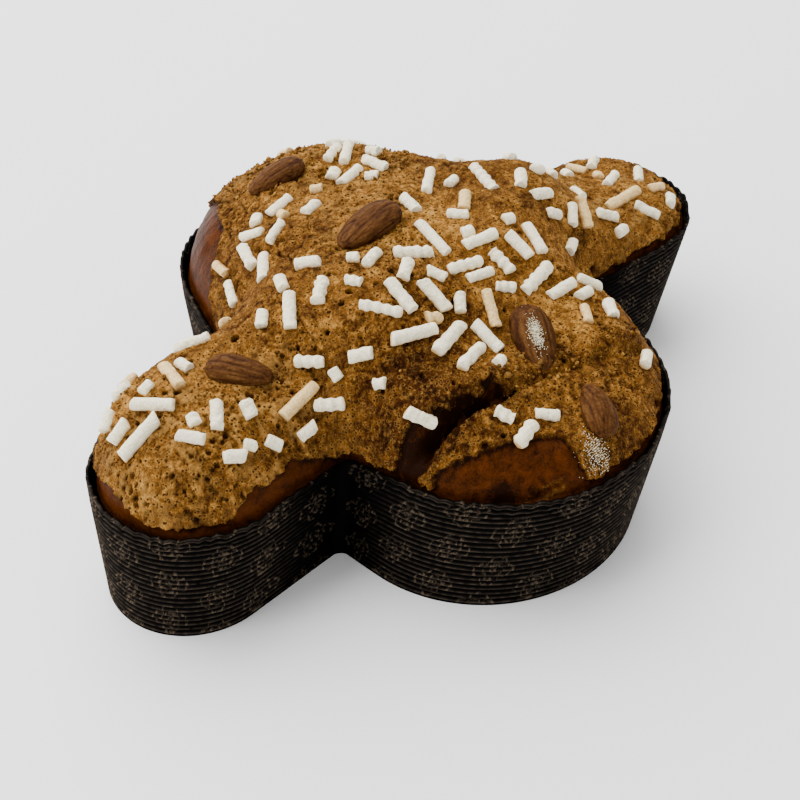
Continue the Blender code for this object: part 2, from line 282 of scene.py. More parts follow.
def make_mesh(
    name: str,
    points: Grid,
    faces: Grid,
    material: bpy.types.Material,
    attributes: dict[str, Grid] | None = None,
    uv: Grid | None = None,
    normals: Grid | None = None,
) -> bpy.types.Object:
    """Make a smooth object from arrays, in metres, and let it ride on the cake's one body.

    Args:
        name: the piece's name.
        points: corners in millimetres.
        faces: corner numbers, four or three a face.
        material: its finish.
        attributes: a number at each corner, by name.
        uv: a flat place for each corner.
        normals: a direction for each corner, where the piece continues another.

    Returns:
        The new object.
    """
    mesh = bpy.data.meshes.new(name)
    count, sides = faces.shape
    mesh.vertices.add(len(points))
    mesh.vertices.foreach_set("co", (points * MM).astype(np.float32).ravel())
    mesh.loops.add(count * sides)
    mesh.loops.foreach_set("vertex_index", faces.astype(np.int32).ravel())
    mesh.polygons.add(count)
    mesh.polygons.foreach_set("loop_start", np.arange(0, count * sides, sides, dtype=np.int32))
    mesh.update(calc_edges=True)
    mesh.validate()
    mesh.shade_smooth()
    for label, values in (attributes or {}).items():
        layer = mesh.attributes.new(label, "FLOAT", "POINT")
        layer.data.foreach_set("value", values.astype(np.float32).ravel())
    if uv is not None:
        layer = mesh.uv_layers.new(name="surface")
        layer.data.foreach_set("uv", uv[faces.ravel()].astype(np.float32).ravel())
    if normals is not None:
        mesh.normals_split_custom_set_from_vertices(normals.tolist())
    mesh.materials.append(material)
    piece = bpy.data.objects.new(name, mesh)
    bpy.context.scene.collection.objects.link(piece)
    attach(piece, "root")
    LOG.info("%s: %d triangles", name, count * (sides - 2))
    return piece


def closed_faces(rings: int, around: int) -> Grid:
    """Return the faces of a closed surface of rings between two single poles.

    Args:
        rings: how many rings of corners.
        around: corners in a ring.

    Returns:
        Triangles. Corner 0 is the first pole, the rings follow, and the last corner is the other.
    """
    ring = 1 + np.arange(rings * around).reshape(rings, around)
    after = np.roll(ring, -1, axis=1)
    quads = np.stack([ring[:-1], after[:-1], after[1:], ring[1:]], -1).reshape(-1, 4)
    last = 1 + rings * around
    first_fan = np.stack([np.zeros(around, int), after[0], ring[0]], -1)
    last_fan = np.stack([np.full(around, last), ring[-1], after[-1]], -1)
    return np.concatenate([quads[:, [0, 1, 2]], quads[:, [0, 2, 3]], first_fan, last_fan])


def repeat_faces(faces: Grid, corners: int, copies: int) -> Grid:
    """Return the faces of many copies of one shape, laid end to end in one array."""
    return (faces[None] + corners * np.arange(copies)[:, None, None]).reshape(-1, faces.shape[1])


def pole_to_pole(rows: Grid) -> Grid:
    """Lay out the corners of closed shapes as closed_faces counts them.

    Args:
        rows: one or more shapes, each as rows of corners round it, with the poles' rows first and
            last, and with what is kept of a corner on the last axis.

    Returns:
        One row for each corner: a shape's first pole, its rings and its last pole, then the next.
    """
    rings = rows[:, 1:-1].reshape(len(rows), -1, rows.shape[-1])
    return np.concatenate([rows[:, 0, :1], rings, rows[:, -1, :1]], axis=1).reshape(-1, rows.shape[-1])


def tumble(draw: np.random.Generator, shapes: Grid, places: Grid) -> Grid:
    """Turn each small shape at random, by the axes of a random matrix, and set it in its place."""
    axes = np.linalg.qr(draw.normal(size=(len(shapes), 3, 3)))[0]
    axes *= np.sign(np.linalg.det(axes))[:, None, None]
    return np.einsum("nij,nkj->nki", axes, shapes) + places[:, None]


@dataclass(frozen=True)
class Lobe:
    """A round lobe of the case: centre and radius at the foot and at the rim."""

    foot: tuple[float, float]
    foot_radius: float
    rim: tuple[float, float]
    rim_radius: float


@dataclass(frozen=True)
class Notch:
    """A fold between two lobes: centre of its small outer circle at the foot and at the rim."""

    foot: tuple[float, float]
    rim: tuple[float, float]


@dataclass(frozen=True)
class CasePlan:
    """The case's plan: a belt round four lobes, crossed over at four notches."""

    height: float = 50.0
    paper: float = 1.2
    wall_gap: float = 0.6
    shrink: float = 1.2
    notch_radius: float = 4.0
    lobes: tuple[Lobe, ...] = (
        Lobe((-108.0, -6.0), 31.5, (-99.5, -7.0), 38.0),
        Lobe((-7.5, -47.3), 56.8, (-1.5, -51.0), 59.2),
        Lobe((95.5, -2.5), 29.5, (104.5, -2.0), 35.5),
        Lobe((0.0, 48.0), 54.5, (2.0, 53.0), 56.0),
    )
    notches: tuple[Notch, ...] = (
        Notch((-69.4, -39.6), (-68.4, -46.4)),
        Notch((60.0, -37.0), (62.4, -38.4)),
        Notch((58.8, 33.8), (62.0, 36.8)),
        Notch((-68.4, 32.4), (-65.4, 36.4)),
    )

    def belt(self, share: float, inset: float, steps: tuple[int, int, int] = (20, 4, 0)) -> Grid:
        """Return the plan at a share of the height, moved inwards.

        The belt turns left round each lobe's circle and right round each notch's, and each
        straight run is the crossed tangent of the two circles that it joins.

        Args:
            share: 0 at the foot and 1 at the rim.
            inset: how far inside the case's outer face.
            steps: steps round a lobe, round a notch, and along a straight run.

        Returns:
            The points in order, anticlockwise.
        """
        circles = []
        for lobe, notch in zip(self.lobes, self.notches):
            radius = mix(lobe.foot_radius, lobe.rim_radius, share) - inset
            circles.append((mix(lobe.foot, lobe.rim, share), radius, 1))
            circles.append((mix(notch.foot, notch.rim, share), self.notch_radius + inset, -1))
        headings = []
        for index, (centre, radius, side) in enumerate(circles):
            next_centre, next_radius, _ = circles[(index + 1) % len(circles)]
            step = next_centre - centre
            both = radius + next_radius
            lean = math.atan2(both, math.sqrt(step @ step - both * both))
            headings.append(math.atan2(step[1], step[0]) + side * lean)
        arcs = []
        for index, (centre, radius, side) in enumerate(circles):
            turn = (headings[index] - headings[index - 1]) % (2.0 * math.pi)
            turn -= 2.0 * math.pi * (side < 0)
            count = steps[0] if side > 0 else steps[1]
            angles = headings[index - 1] + turn * np.linspace(0.0, 1.0, count + 1)
            arcs.append(centre + side * radius * np.column_stack([np.sin(angles), -np.cos(angles)]))
        shares = np.linspace(0.0, 1.0, steps[2] + 2)[1:-1, None]
        runs = [arc[-1] + shares * (after[0] - arc[-1]) for arc, after in zip(arcs, arcs[1:] + arcs[:1])]
        return np.concatenate([part for pair in zip(arcs, runs) for part in pair])

    def crust_outline(self) -> Grid:
        """Return the crust's own outline, shrunk away from the paper at the rim."""
        return self.belt(1.0, self.paper + self.wall_gap + self.shrink)

    def nearest(self, x: Grid, y: Grid) -> tuple[Grid, Grid, Grid]:
        """Find the nearest place on the crust's outline.

        Args:
            x: places along X.
            y: places along Y.

        Returns:
            The distance, counted positive inside, and the nearest place's x and y.
        """
        outline = self.crust_outline()
        best = np.full(np.shape(x), np.inf)
        foot_x = np.zeros(np.shape(x))
        foot_y = np.zeros(np.shape(x))
        inside = np.zeros(np.shape(x), bool)
        for start, end in zip(outline, np.roll(outline, -1, axis=0)):
            run = end - start
            along = ((x - start[0]) * run[0] + (y - start[1]) * run[1]) / max(run @ run, 1e-9)
            along = np.clip(along, 0.0, 1.0)
            near_x = start[0] + along * run[0]
            near_y = start[1] + along * run[1]
            gap = (x - near_x) ** 2 + (y - near_y) ** 2
            closer = gap < best
            best = np.where(closer, gap, best)
            foot_x = np.where(closer, near_x, foot_x)
            foot_y = np.where(closer, near_y, foot_y)
            if start[1] != end[1]:
                crossing = start[0] + (y - start[1]) * run[0] / run[1]
                inside ^= ((start[1] > y) != (end[1] > y)) & (x < crossing)
        return np.sqrt(best) * np.where(inside, 1.0, -1.0), foot_x, foot_y


@dataclass(frozen=True)
class Crown:
    """A rise of the crust: place, height over the rim, reach in plan and width of its shoulder."""

    x: float
    y: float
    height: float
    reach: float
    shoulder: float


@dataclass(frozen=True)
class CrustShape:
    """The crust's smooth form: blended crowns, soft lumps, and one crack with a low cliff."""

    plan: CasePlan = field(default_factory=CasePlan)
    crowns: tuple[Crown, ...] = (
        Crown(-99.0, -4.0, 23.5, 22.0, 30.0),
        Crown(-97.0, 16.0, 31.0, 13.0, 19.0),
        Crown(6.0, -70.0, 18.0, 22.0, 35.0),
        Crown(104.0, 0.0, 9.0, 20.0, 25.0),
        Crown(-8.0, 66.0, 33.0, 26.0, 48.0),
        Crown(6.0, 6.0, 42.0, 36.0, 39.0),
        Crown(48.0, 10.0, 35.0, 20.0, 27.0),
        Crown(30.0, 40.0, 37.5, 18.0, 31.0),
        Crown(46.0, 24.0, 51.0, 11.0, 22.0),
    )
    edge_height: float = 47.5
    shoulder_power: float = 0.6
    lump_height: float = 1.1
    lump_lengths: tuple[float, float] = (11.0, 9.0)
    small_lump_lengths: tuple[float, float] = (5.3, 6.1)
    lump_fade: float = 10.0
    crack_line: tuple[float, float, float] = (-30.0, -68.3, -0.19)
    crack_ends: tuple[float, float, float, float] = (-66.0, -54.0, 34.0, 50.0)
    crack_open: tuple[float, float] = (-10.0, -24.0)
    crack_depth: float = 11.0
    crack_width: float = 2.3
    crack_mouth: float = 1.5
    mouth_ends: tuple[float, float] = (-32.0, -54.0)
    valley_share: float = 0.16
    cliff_rise: float = 3.6
    cliff_width: float = 10.0
    cliff_face: float = 1.5
    cliff_share: float = 0.45
    wing_drop: float = 3.0
    wing_drop_reach: float = 12.0

    def across_crack(self, x: Grid, y: Grid) -> tuple[Grid, Grid]:
        """Return the distance across the crack's slanting line, positive on the crown's side.

        Args:
            x: places along X.
            y: places along Y.

        Returns:
            The distance, and the crack's strength from 0 past its ends to 1.
        """
        across = y - self.crack_line[1] - self.crack_line[2] * (x - self.crack_line[0])
        reach = smoothstep(*self.crack_ends[:2], x) * smoothstep(*self.crack_ends[:1:-1], x)
        return across, reach

    def opened(self, x: Grid) -> Grid:
        """Return how far the crack gapes, from 0 where it is a shallow valley to 1."""
        return smoothstep(*self.crack_ends[:2], x) * smoothstep(*self.crack_open, x)

    def mouth(self, x: Grid) -> Grid:
        """Return how far the crack has widened towards its open end, from 0 to 1."""
        return smoothstep(*self.mouth_ends, x)

    def height(self, x: Grid, y: Grid, distance: Grid) -> Grid:
        """Return the crust's height over the table.

        The rise over the rim is the crowns' heights, weighted by bell curves of the distance to
        each, times a round shoulder: one minus the square of what is left of the shoulder's
        width, to a power. Two products of sines add lumps, and bell curves across the crack add
        its trench, its cliff and the drop of the wing beyond it. Where the crack doesn't gape, its
        trench keeps the valley share, and its cliff the cliff share.

        Args:
            x: places along X.
            y: places along Y.
            distance: how far inside the outline each place lies.

        Returns:
            The heights in millimetres.
        """
        weight = rise = shoulder = 0.0
        for crown in self.crowns:
            away = (x - crown.x) ** 2 + (y - crown.y) ** 2
            pull = np.exp(-away / (2.0 * crown.reach * crown.reach)) + 1e-9
            weight = weight + pull
            rise = rise + pull * crown.height
            shoulder = shoulder + pull * crown.shoulder
        share = np.clip(distance * weight / shoulder, 0.0, 1.0)
        round_share = (1.0 - (1.0 - share) ** 2) ** self.shoulder_power
        fade = np.clip(distance / self.lump_fade, 0.0, 1.0)
        lumps = np.sin(x / self.lump_lengths[0] + 1.3) * np.sin(y / self.lump_lengths[1] + 0.4)
        lumps = lumps + 0.5 * np.sin(x / self.small_lump_lengths[0] + y / self.small_lump_lengths[1] + 2.0)
        across, reach = self.across_crack(x, y)
        gape = self.opened(x)
        past = across - self.crack_width
        cliff = self.cliff_rise * bell(past, np.where(past > 0.0, self.cliff_width, self.cliff_face))
        trench = self.crack_depth * bell(across, self.crack_width + self.crack_mouth * self.mouth(x))
        drop = self.wing_drop * bell(across + self.wing_drop_reach, self.wing_drop_reach)
        step = cliff * mix(self.cliff_share, 1.0, gape) - trench * mix(self.valley_share, 1.0, gape) - drop
        relief = fade * (self.lump_height * lumps + reach * step)
        edge = self.edge_height * (1.0 - round_share)
        return edge + (self.plan.height + rise / weight) * round_share + relief

    def frame_at(self, x: float, y: float) -> tuple[Vector, Vector]:
        """Return the crust's point and unit normal at one place in plan."""
        step = 1.5
        xs = np.array([x, x + step, x - step, x, x])
        ys = np.array([y, y, y, y + step, y - step])
        height = self.height(xs, ys, np.abs(self.plan.nearest(xs, ys)[0]))
        slope_x = (height[1] - height[2]) / (2.0 * step)
        slope_y = (height[3] - height[4]) / (2.0 * step)
        return Vector((x, y, height[0])), Vector((-slope_x, -slope_y, 1.0)).normalized()

    def lying_matrix(self, x: float, y: float, heading: float, lift: float) -> Matrix:
        """Return the matrix that lays a piece, long along its own X, on the crust.

        Args:
            x: place along X.
            y: place along Y.
            heading: its direction in plan, in radians.
            lift: how far its middle stands over the crust.

        Returns:
            The matrix, in millimetres.
        """
        point, normal = self.frame_at(x, y)
        along = Vector((math.cos(heading), math.sin(heading), 0.0))
        along = (along - normal * along.dot(normal)).normalized()
        turn = Matrix((along, normal.cross(along), normal)).transposed().to_4x4()
        return Matrix.Translation(point + normal * lift) @ turn


@dataclass(frozen=True)
class BakedSkinFinish:
    """Baked almond-sugar glaze over an enriched dough: matt, porous crumb, and a satin brown skin.

    The glaze dries and cracks into dull golden crumb with holes, which are painted dark as
    painted shade. Where it ran short, the dough's own skin shows, smooth and dark as polished
    bread.
    """

    # The darkest brown stands for scorched glaze and for painted shade, where the tone falls in the crack and
    # past the glaze's edge.
    scorched_and_shade: str = "#220E02"
    brown: str = "#3F2108"
    golden: str = "#5C3A12"
    honey: str = "#7A4E1C"
    crumb: str = "#AC7D3B"
    pale: str = "#BF9350"
    # The hole colour paints shade into the pits, pinholes, blisters and splits.
    hole: str = "#1E0A02"
    dough_dark: str = "#1A0800"
    dough_light: str = "#4E2506"
    crust_roughness: float = 0.8
    dough_roughness: float = 0.42
    sheen_level: float = 0.03
    grain_mm: float = 0.32
    patch_mm: float = 4.2
    pore_mm: float = 1.5
    swirl_mm: float = 1.2
    patch_weight: float = 1.9
    grain_weight: float = 1.2
    crust_start: float = 1.54
    dough_range: tuple[float, float] = (1.55, 2.4)
    crust_stops: tuple[float, ...] = (0.0, 0.26, 0.5, 0.74, 1.0)
    pore_edge: tuple[float, float] = (0.33, 0.24)
    brim_edge: tuple[float, float] = (0.50, 0.34)
    pore_groups: tuple[float, float] = (0.38, 0.52)
    pore_share: float = 0.9
    brim_share: float = 0.4

    def build(self) -> bpy.types.Material:
        """Return the material, which reads the crust's own attributes.

        The crust's colour follows the mesh's tone plus two weighted noises, and the dough's the
        same sum; the tone holds painted shade and painted light besides the baking tone. Over the
        crust's colour lie the pinholes' light brims, the pale and crumbly places, and the pits and
        the pinholes painted dark as painted shade, and the bare dough lies over all.
        """
        material, tree, shader = fresh_material("baked_glaze_and_dough")
        place = add_node(tree, "ShaderNodeTexCoord").outputs["Object"]
        reads = {label: attribute(tree, label) for label in ("tone", "pit", "crumb", "pale", "bare")}
        patches = noise(tree, place, self.patch_mm * MM, 6.0, 0.64, 0.7).outputs["Fac"]
        grain = noise(tree, place, 2.0 * self.grain_mm * MM, 2.0, 0.8).outputs["Fac"]
        shifted = arithmetic(tree, "MULTIPLY_ADD", patches, self.patch_weight, reads["tone"])
        toned = arithmetic(tree, "MULTIPLY_ADD", grain, self.grain_weight, shifted)
        pores, brims = self.pores(tree, place, patches)
        colours = (self.scorched_and_shade, self.brown, self.golden, self.honey, self.crumb)
        share = spread(tree, toned, self.crust_start, self.crust_start + 1.0)
        colour = ramp(tree, share, list(zip(self.crust_stops, colours)))
        colour = blend(tree, brims, colour, srgb(self.crumb))
        # The pits and the pinholes take the hole colour as painted shade.
        for label, code in (("pale", self.pale), ("crumb", self.crumb), ("pit", self.hole)):
            colour = blend(tree, reads[label], colour, srgb(code))
        colour = blend(tree, pores, colour, srgb(self.hole))
        dough_share = spread(tree, toned, *self.dough_range)
        dough = ramp(tree, dough_share, [(0.0, self.dough_dark), (1.0, self.dough_light)])
        colour = blend(tree, reads["bare"], colour, dough)
        tree.links.new(colour, shader.inputs["Base Color"])
        gloss = spread(tree, reads["bare"], 0.0, 1.0, (self.crust_roughness, self.dough_roughness))
        tree.links.new(gloss, shader.inputs["Roughness"])
        height = arithmetic(tree, "MULTIPLY_ADD", pores, -0.8, grain)
        roughen(tree, shader, height, 1.6 * self.grain_mm, spread(tree, reads["bare"], 0.0, 1.0, (1.0, 0.3)))
        shader.inputs["Specular IOR Level"].default_value = self.sheen_level
        return material

    def pores(self, tree: Tree, place: Socket, patches: Socket) -> tuple[Socket, Socket]:
        """Make pinholes with light brims, in scattered groups.

        Args:
            tree: the material's node tree.
            place: where on the object.
            patches: the coarse noise that groups them.

        Returns:
            The strength of the pinholes' painted shade and of their brims, by the distance to the
            nearest of scattered points, in a place that a noise has swirled.
        """
        swirl = noise(tree, place, self.swirl_mm * MM).outputs["Color"]
        moved = moved_place(tree, swirl, (1.1 * MM,) * 3, place)
        inputs = {"Vector": moved, "Scale": 1.0 / (self.pore_mm * MM)}
        gap = add_node(tree, "ShaderNodeTexVoronoi", inputs=inputs).outputs["Distance"]
        grouped = spread(tree, patches, *self.pore_groups)
        strengths = []
        for edge, share in ((self.pore_edge, self.pore_share), (self.brim_edge, self.brim_share)):
            held = arithmetic(tree, "MULTIPLY", spread(tree, gap, *edge), grouped)
            strengths.append(arithmetic(tree, "MULTIPLY", held, share))
        return strengths[0], strengths[1]


@dataclass(frozen=True)
class SugarFinish:
    """Pressed pearl sugar: dense white and matt, with a faint chalky grain."""

    name: str
    light: str
    shade: str
    stain: str
    stain_share: float
    roughness: float = 0.75
    grain_mm: float = 0.7
    grain_depth_mm: float = 0.45
    blotch_mm: float = 4.0
    blotch_weight: float = 0.8
    stain_range: tuple[float, float] = (0.95, 1.35)

    def build(self) -> bpy.types.Material:
        """Return the material: a chalky white with syrup stains where it touched the glaze."""
        material, tree, shader = fresh_material(self.name)
        place = add_node(tree, "ShaderNodeTexCoord").outputs["Object"]
        grain = noise(tree, place, self.grain_mm * MM, 3.0).outputs["Fac"]
        white = ramp(tree, grain, [(0.3, self.shade), (0.6, self.light)])
        blotch = noise(tree, place, self.blotch_mm * MM).outputs["Fac"]
        stained = arithmetic(tree, "MULTIPLY_ADD", blotch, self.blotch_weight, attribute(tree, "sunk"))
        share = spread(tree, stained, *(limit - self.stain_share for limit in self.stain_range))
        tree.links.new(blend(tree, share, white, srgb(self.stain)), shader.inputs["Base Color"])
        roughen(tree, shader, grain, self.grain_depth_mm)
        shader.inputs["Roughness"].default_value = self.roughness
        return material


@dataclass(frozen=True)
class AlmondSkinFinish:
    """Dry roasted almond skin: wrinkled brown tannin skin, with painted shade in the folds and painted light
    on the ridges.
    """

    dark: str = "#2C1406"
    mid: str = "#4E2F13"
    light: str = "#6C4A25"
    roughness: float = 0.6
    sheen_level: float = 0.04
    fleck_mm: float = 0.9
    fleck_depth_mm: float = 0.4
    fleck_weight: float = 1.3
    tone_range: tuple[float, float] = (0.6, 2.0)

    def build(self) -> bpy.types.Material:
        """Return the material, which reads the almond's own fold depth to paint shade into the folds."""
        material, tree, shader = fresh_material("roasted_almond_skin")
        place = add_node(tree, "ShaderNodeTexCoord").outputs["Object"]
        fleck = noise(tree, place, self.fleck_mm * MM, 4.0, 0.65).outputs["Fac"]
        # The fold height darkens the grooves and lightens the ridges: painted shade and painted light.
        tone = arithmetic(tree, "MULTIPLY_ADD", fleck, self.fleck_weight, attribute(tree, "fold"))
        stops = [(0.0, self.dark), (0.55, self.mid), (1.0, self.light)]
        skin = ramp(tree, spread(tree, tone, *self.tone_range), stops)
        tree.links.new(skin, shader.inputs["Base Color"])
        roughen(tree, shader, fleck, self.fleck_depth_mm, 0.9)
        shader.inputs["Roughness"].default_value = self.roughness
        shader.inputs["Specular IOR Level"].default_value = self.sheen_level
        return material


@dataclass(frozen=True)
class CasePaperFinish:
    """Dark greaseproof kraft paper, pressed into fine ribs and printed with a faint line ornament, with a
    painted highlight along the ribs' ridges.
    """

    paper: str = "#020101"
    # The colour of the painted highlight along the ribs' ridges.
    painted_ridge_light: str = "#50463C"
    ink: str = "#5C4F40"
    column_mm: float = 19.0
    row_mm: float = 18.7
    rosette_mm: float = 7.0
    line_mm: float = 0.62
    drift_mm: float = 2.5
    drift_reach: float = 2.4
    ink_wear_mm: float = 1.0 / 1.1
    ink_wear: tuple[float, float] = (0.42, 0.56)
    # A noise that breaks up the painted ridge highlight.
    ridge_light_breaks_mm: float = 1.0 / 0.35
    ridge_light_breaks: tuple[float, float] = (0.25, 0.75)
    rib_sharpness: float = 2.5
    fibre_mm: float = 0.4
    fibre_depth_mm: float = 0.15
    roughness: float = 0.6
    sheen_level: float = 0.02

    def build(self) -> bpy.types.Material:
        """Return the material.

        The ornament is a rosette in each tile of a staggered net: closed lines whose radius is
        the rosette's, times 0.5 plus 0.5 times the root of the absolute cosine of twice the angle,
        which draws four round petals, and a small ring in the middle. The print shows more on the
        ribs' ridges, and a lighter colour lies along the ridges, broken up by a noise: both are
        painted light.
        """
        material, tree, shader = fresh_material("dark_ribbed_baking_paper")
        surface = add_node(tree, "ShaderNodeUVMap", {"uv_map": "surface"}).outputs["UV"]
        ridge = attribute(tree, "ridge")
        drift = noise(tree, surface, self.drift_mm, 1.0).outputs["Color"]
        drawn = moved_place(tree, drift, (self.drift_reach, self.drift_reach, 0.0), surface)
        left = self.left(tree, surface, self.ink_wear_mm, self.ink_wear)
        ink = arithmetic(tree, "MULTIPLY", self.ornament(tree, drawn), left)
        # The print shows more on the ridges: painted light.
        ink = arithmetic(tree, "MULTIPLY", ink, arithmetic(tree, "MULTIPLY_ADD", ridge, 0.75, 0.25))
        # A painted highlight along the ribs' ridges, broken up by a noise.
        thin = arithmetic(tree, "POWER", ridge, self.rib_sharpness)
        ridge_light_left = self.left(tree, surface, self.ridge_light_breaks_mm, self.ridge_light_breaks)
        painted_ridge_light = arithmetic(tree, "MULTIPLY", thin, ridge_light_left)
        base = blend(tree, painted_ridge_light, srgb(self.paper), srgb(self.painted_ridge_light))
        tree.links.new(blend(tree, ink, base, srgb(self.ink)), shader.inputs["Base Color"])
        fibre = noise(tree, surface, self.fibre_mm, 4.0).outputs["Fac"]
        roughen(tree, shader, fibre, self.fibre_depth_mm, 0.5)
        shader.inputs["Roughness"].default_value = self.roughness
        shader.inputs["Specular IOR Level"].default_value = self.sheen_level
        return material

    def left(self, tree: Tree, surface: Socket, size: float, limits: tuple[float, float]) -> Socket:
        """Return a share from 0 to 1, by a noise over the paper: how much ink is left, and how much of the
        painted ridge highlight shows.
        """
        return spread(tree, noise(tree, surface, size, 3.0).outputs["Fac"], *limits)

    def ornament(self, tree: Tree, surface: Socket) -> Socket:
        """Return the printed lines' strength, from 0 to 1, over the unrolled wall."""
        parts = add_node(tree, "ShaderNodeSeparateXYZ", inputs={0: surface})
        column = arithmetic(tree, "DIVIDE", parts.outputs["X"], self.column_mm)
        odd = arithmetic(tree, "MODULO", arithmetic(tree, "FLOOR", column), 2.0)
        row = arithmetic(tree, "DIVIDE", parts.outputs["Y"], self.row_mm)
        row = arithmetic(tree, "MULTIPLY_ADD", odd, 0.5, row)
        right = self.from_middle(tree, column, self.column_mm)
        up = self.from_middle(tree, row, self.row_mm)
        square = arithmetic(tree, "MULTIPLY_ADD", right, right, arithmetic(tree, "MULTIPLY", up, up))
        radius = arithmetic(tree, "SQRT", square)
        angle = arithmetic(tree, "MULTIPLY", arithmetic(tree, "ARCTAN2", up, right), 2.0)
        petal = arithmetic(tree, "ABSOLUTE", arithmetic(tree, "COSINE", angle))
        petal = arithmetic(tree, "MULTIPLY_ADD", arithmetic(tree, "POWER", petal, 0.5), 0.5, 0.5)
        outer = self.line(tree, radius, arithmetic(tree, "MULTIPLY", petal, self.rosette_mm))
        inner = self.line(tree, radius, arithmetic(tree, "MULTIPLY", petal, 0.55 * self.rosette_mm))
        middle = self.line(tree, radius, 0.16 * self.rosette_mm)
        return arithmetic(tree, "MAXIMUM", arithmetic(tree, "MAXIMUM", outer, inner), middle)

    def from_middle(self, tree: Tree, tiles: Socket, size: float) -> Socket:
        """Return the distance from a tile's middle, along one axis."""
        off = arithmetic(tree, "SUBTRACT", arithmetic(tree, "FRACT", tiles), 0.5)
        return arithmetic(tree, "MULTIPLY", off, size)

    def line(self, tree: Tree, radius: Socket, target: Socket | float) -> Socket:
        """Return a line's strength where the radius is near its target."""
        off = arithmetic(tree, "ABSOLUTE", arithmetic(tree, "SUBTRACT", radius, target))
        return spread(tree, off, self.line_mm, 0.4 * self.line_mm)


@dataclass(frozen=True)
class PlainFinish:
    """A matt finish of one colour."""

    name: str
    colour: str
    roughness: float = 0.9

    def build(self) -> bpy.types.Material:
        """Return the material."""
        material, _, shader = fresh_material(self.name)
        shader.inputs["Base Color"].default_value = srgb(self.colour)
        shader.inputs["Roughness"].default_value = self.roughness
        return material


@dataclass(frozen=True)
class BareBand:
    """A stretch of the rim where the dough's own skin shows: middle, reach, and height bare."""

    x: float
    y: float
    reach: float
    height: float


@dataclass(frozen=True)
class Patch:
    """A round patch of the crust with its own shade: place, reach and strength."""

    x: float
    y: float
    reach: float
    strength: float


@dataclass(frozen=True)
class Bubbles:
    """One size of bubble in the glaze.

    Fields: side of the cubes that hold one each, smallest and largest radius, share of the cubes
    that hold one, where its wall starts and ends, how deep it sinks, and its field's number.
    """

    cube: float
    radii: tuple[float, float]
    share: float
    wall: tuple[float, float]
    sink: float
    salt: int

    def inside(self, points: Grid) -> Grid:
        """Return how deep each place lies in a bubble, from 0 to 1."""
        return craters(points, self.cube, self.radii, self.share, self.salt)


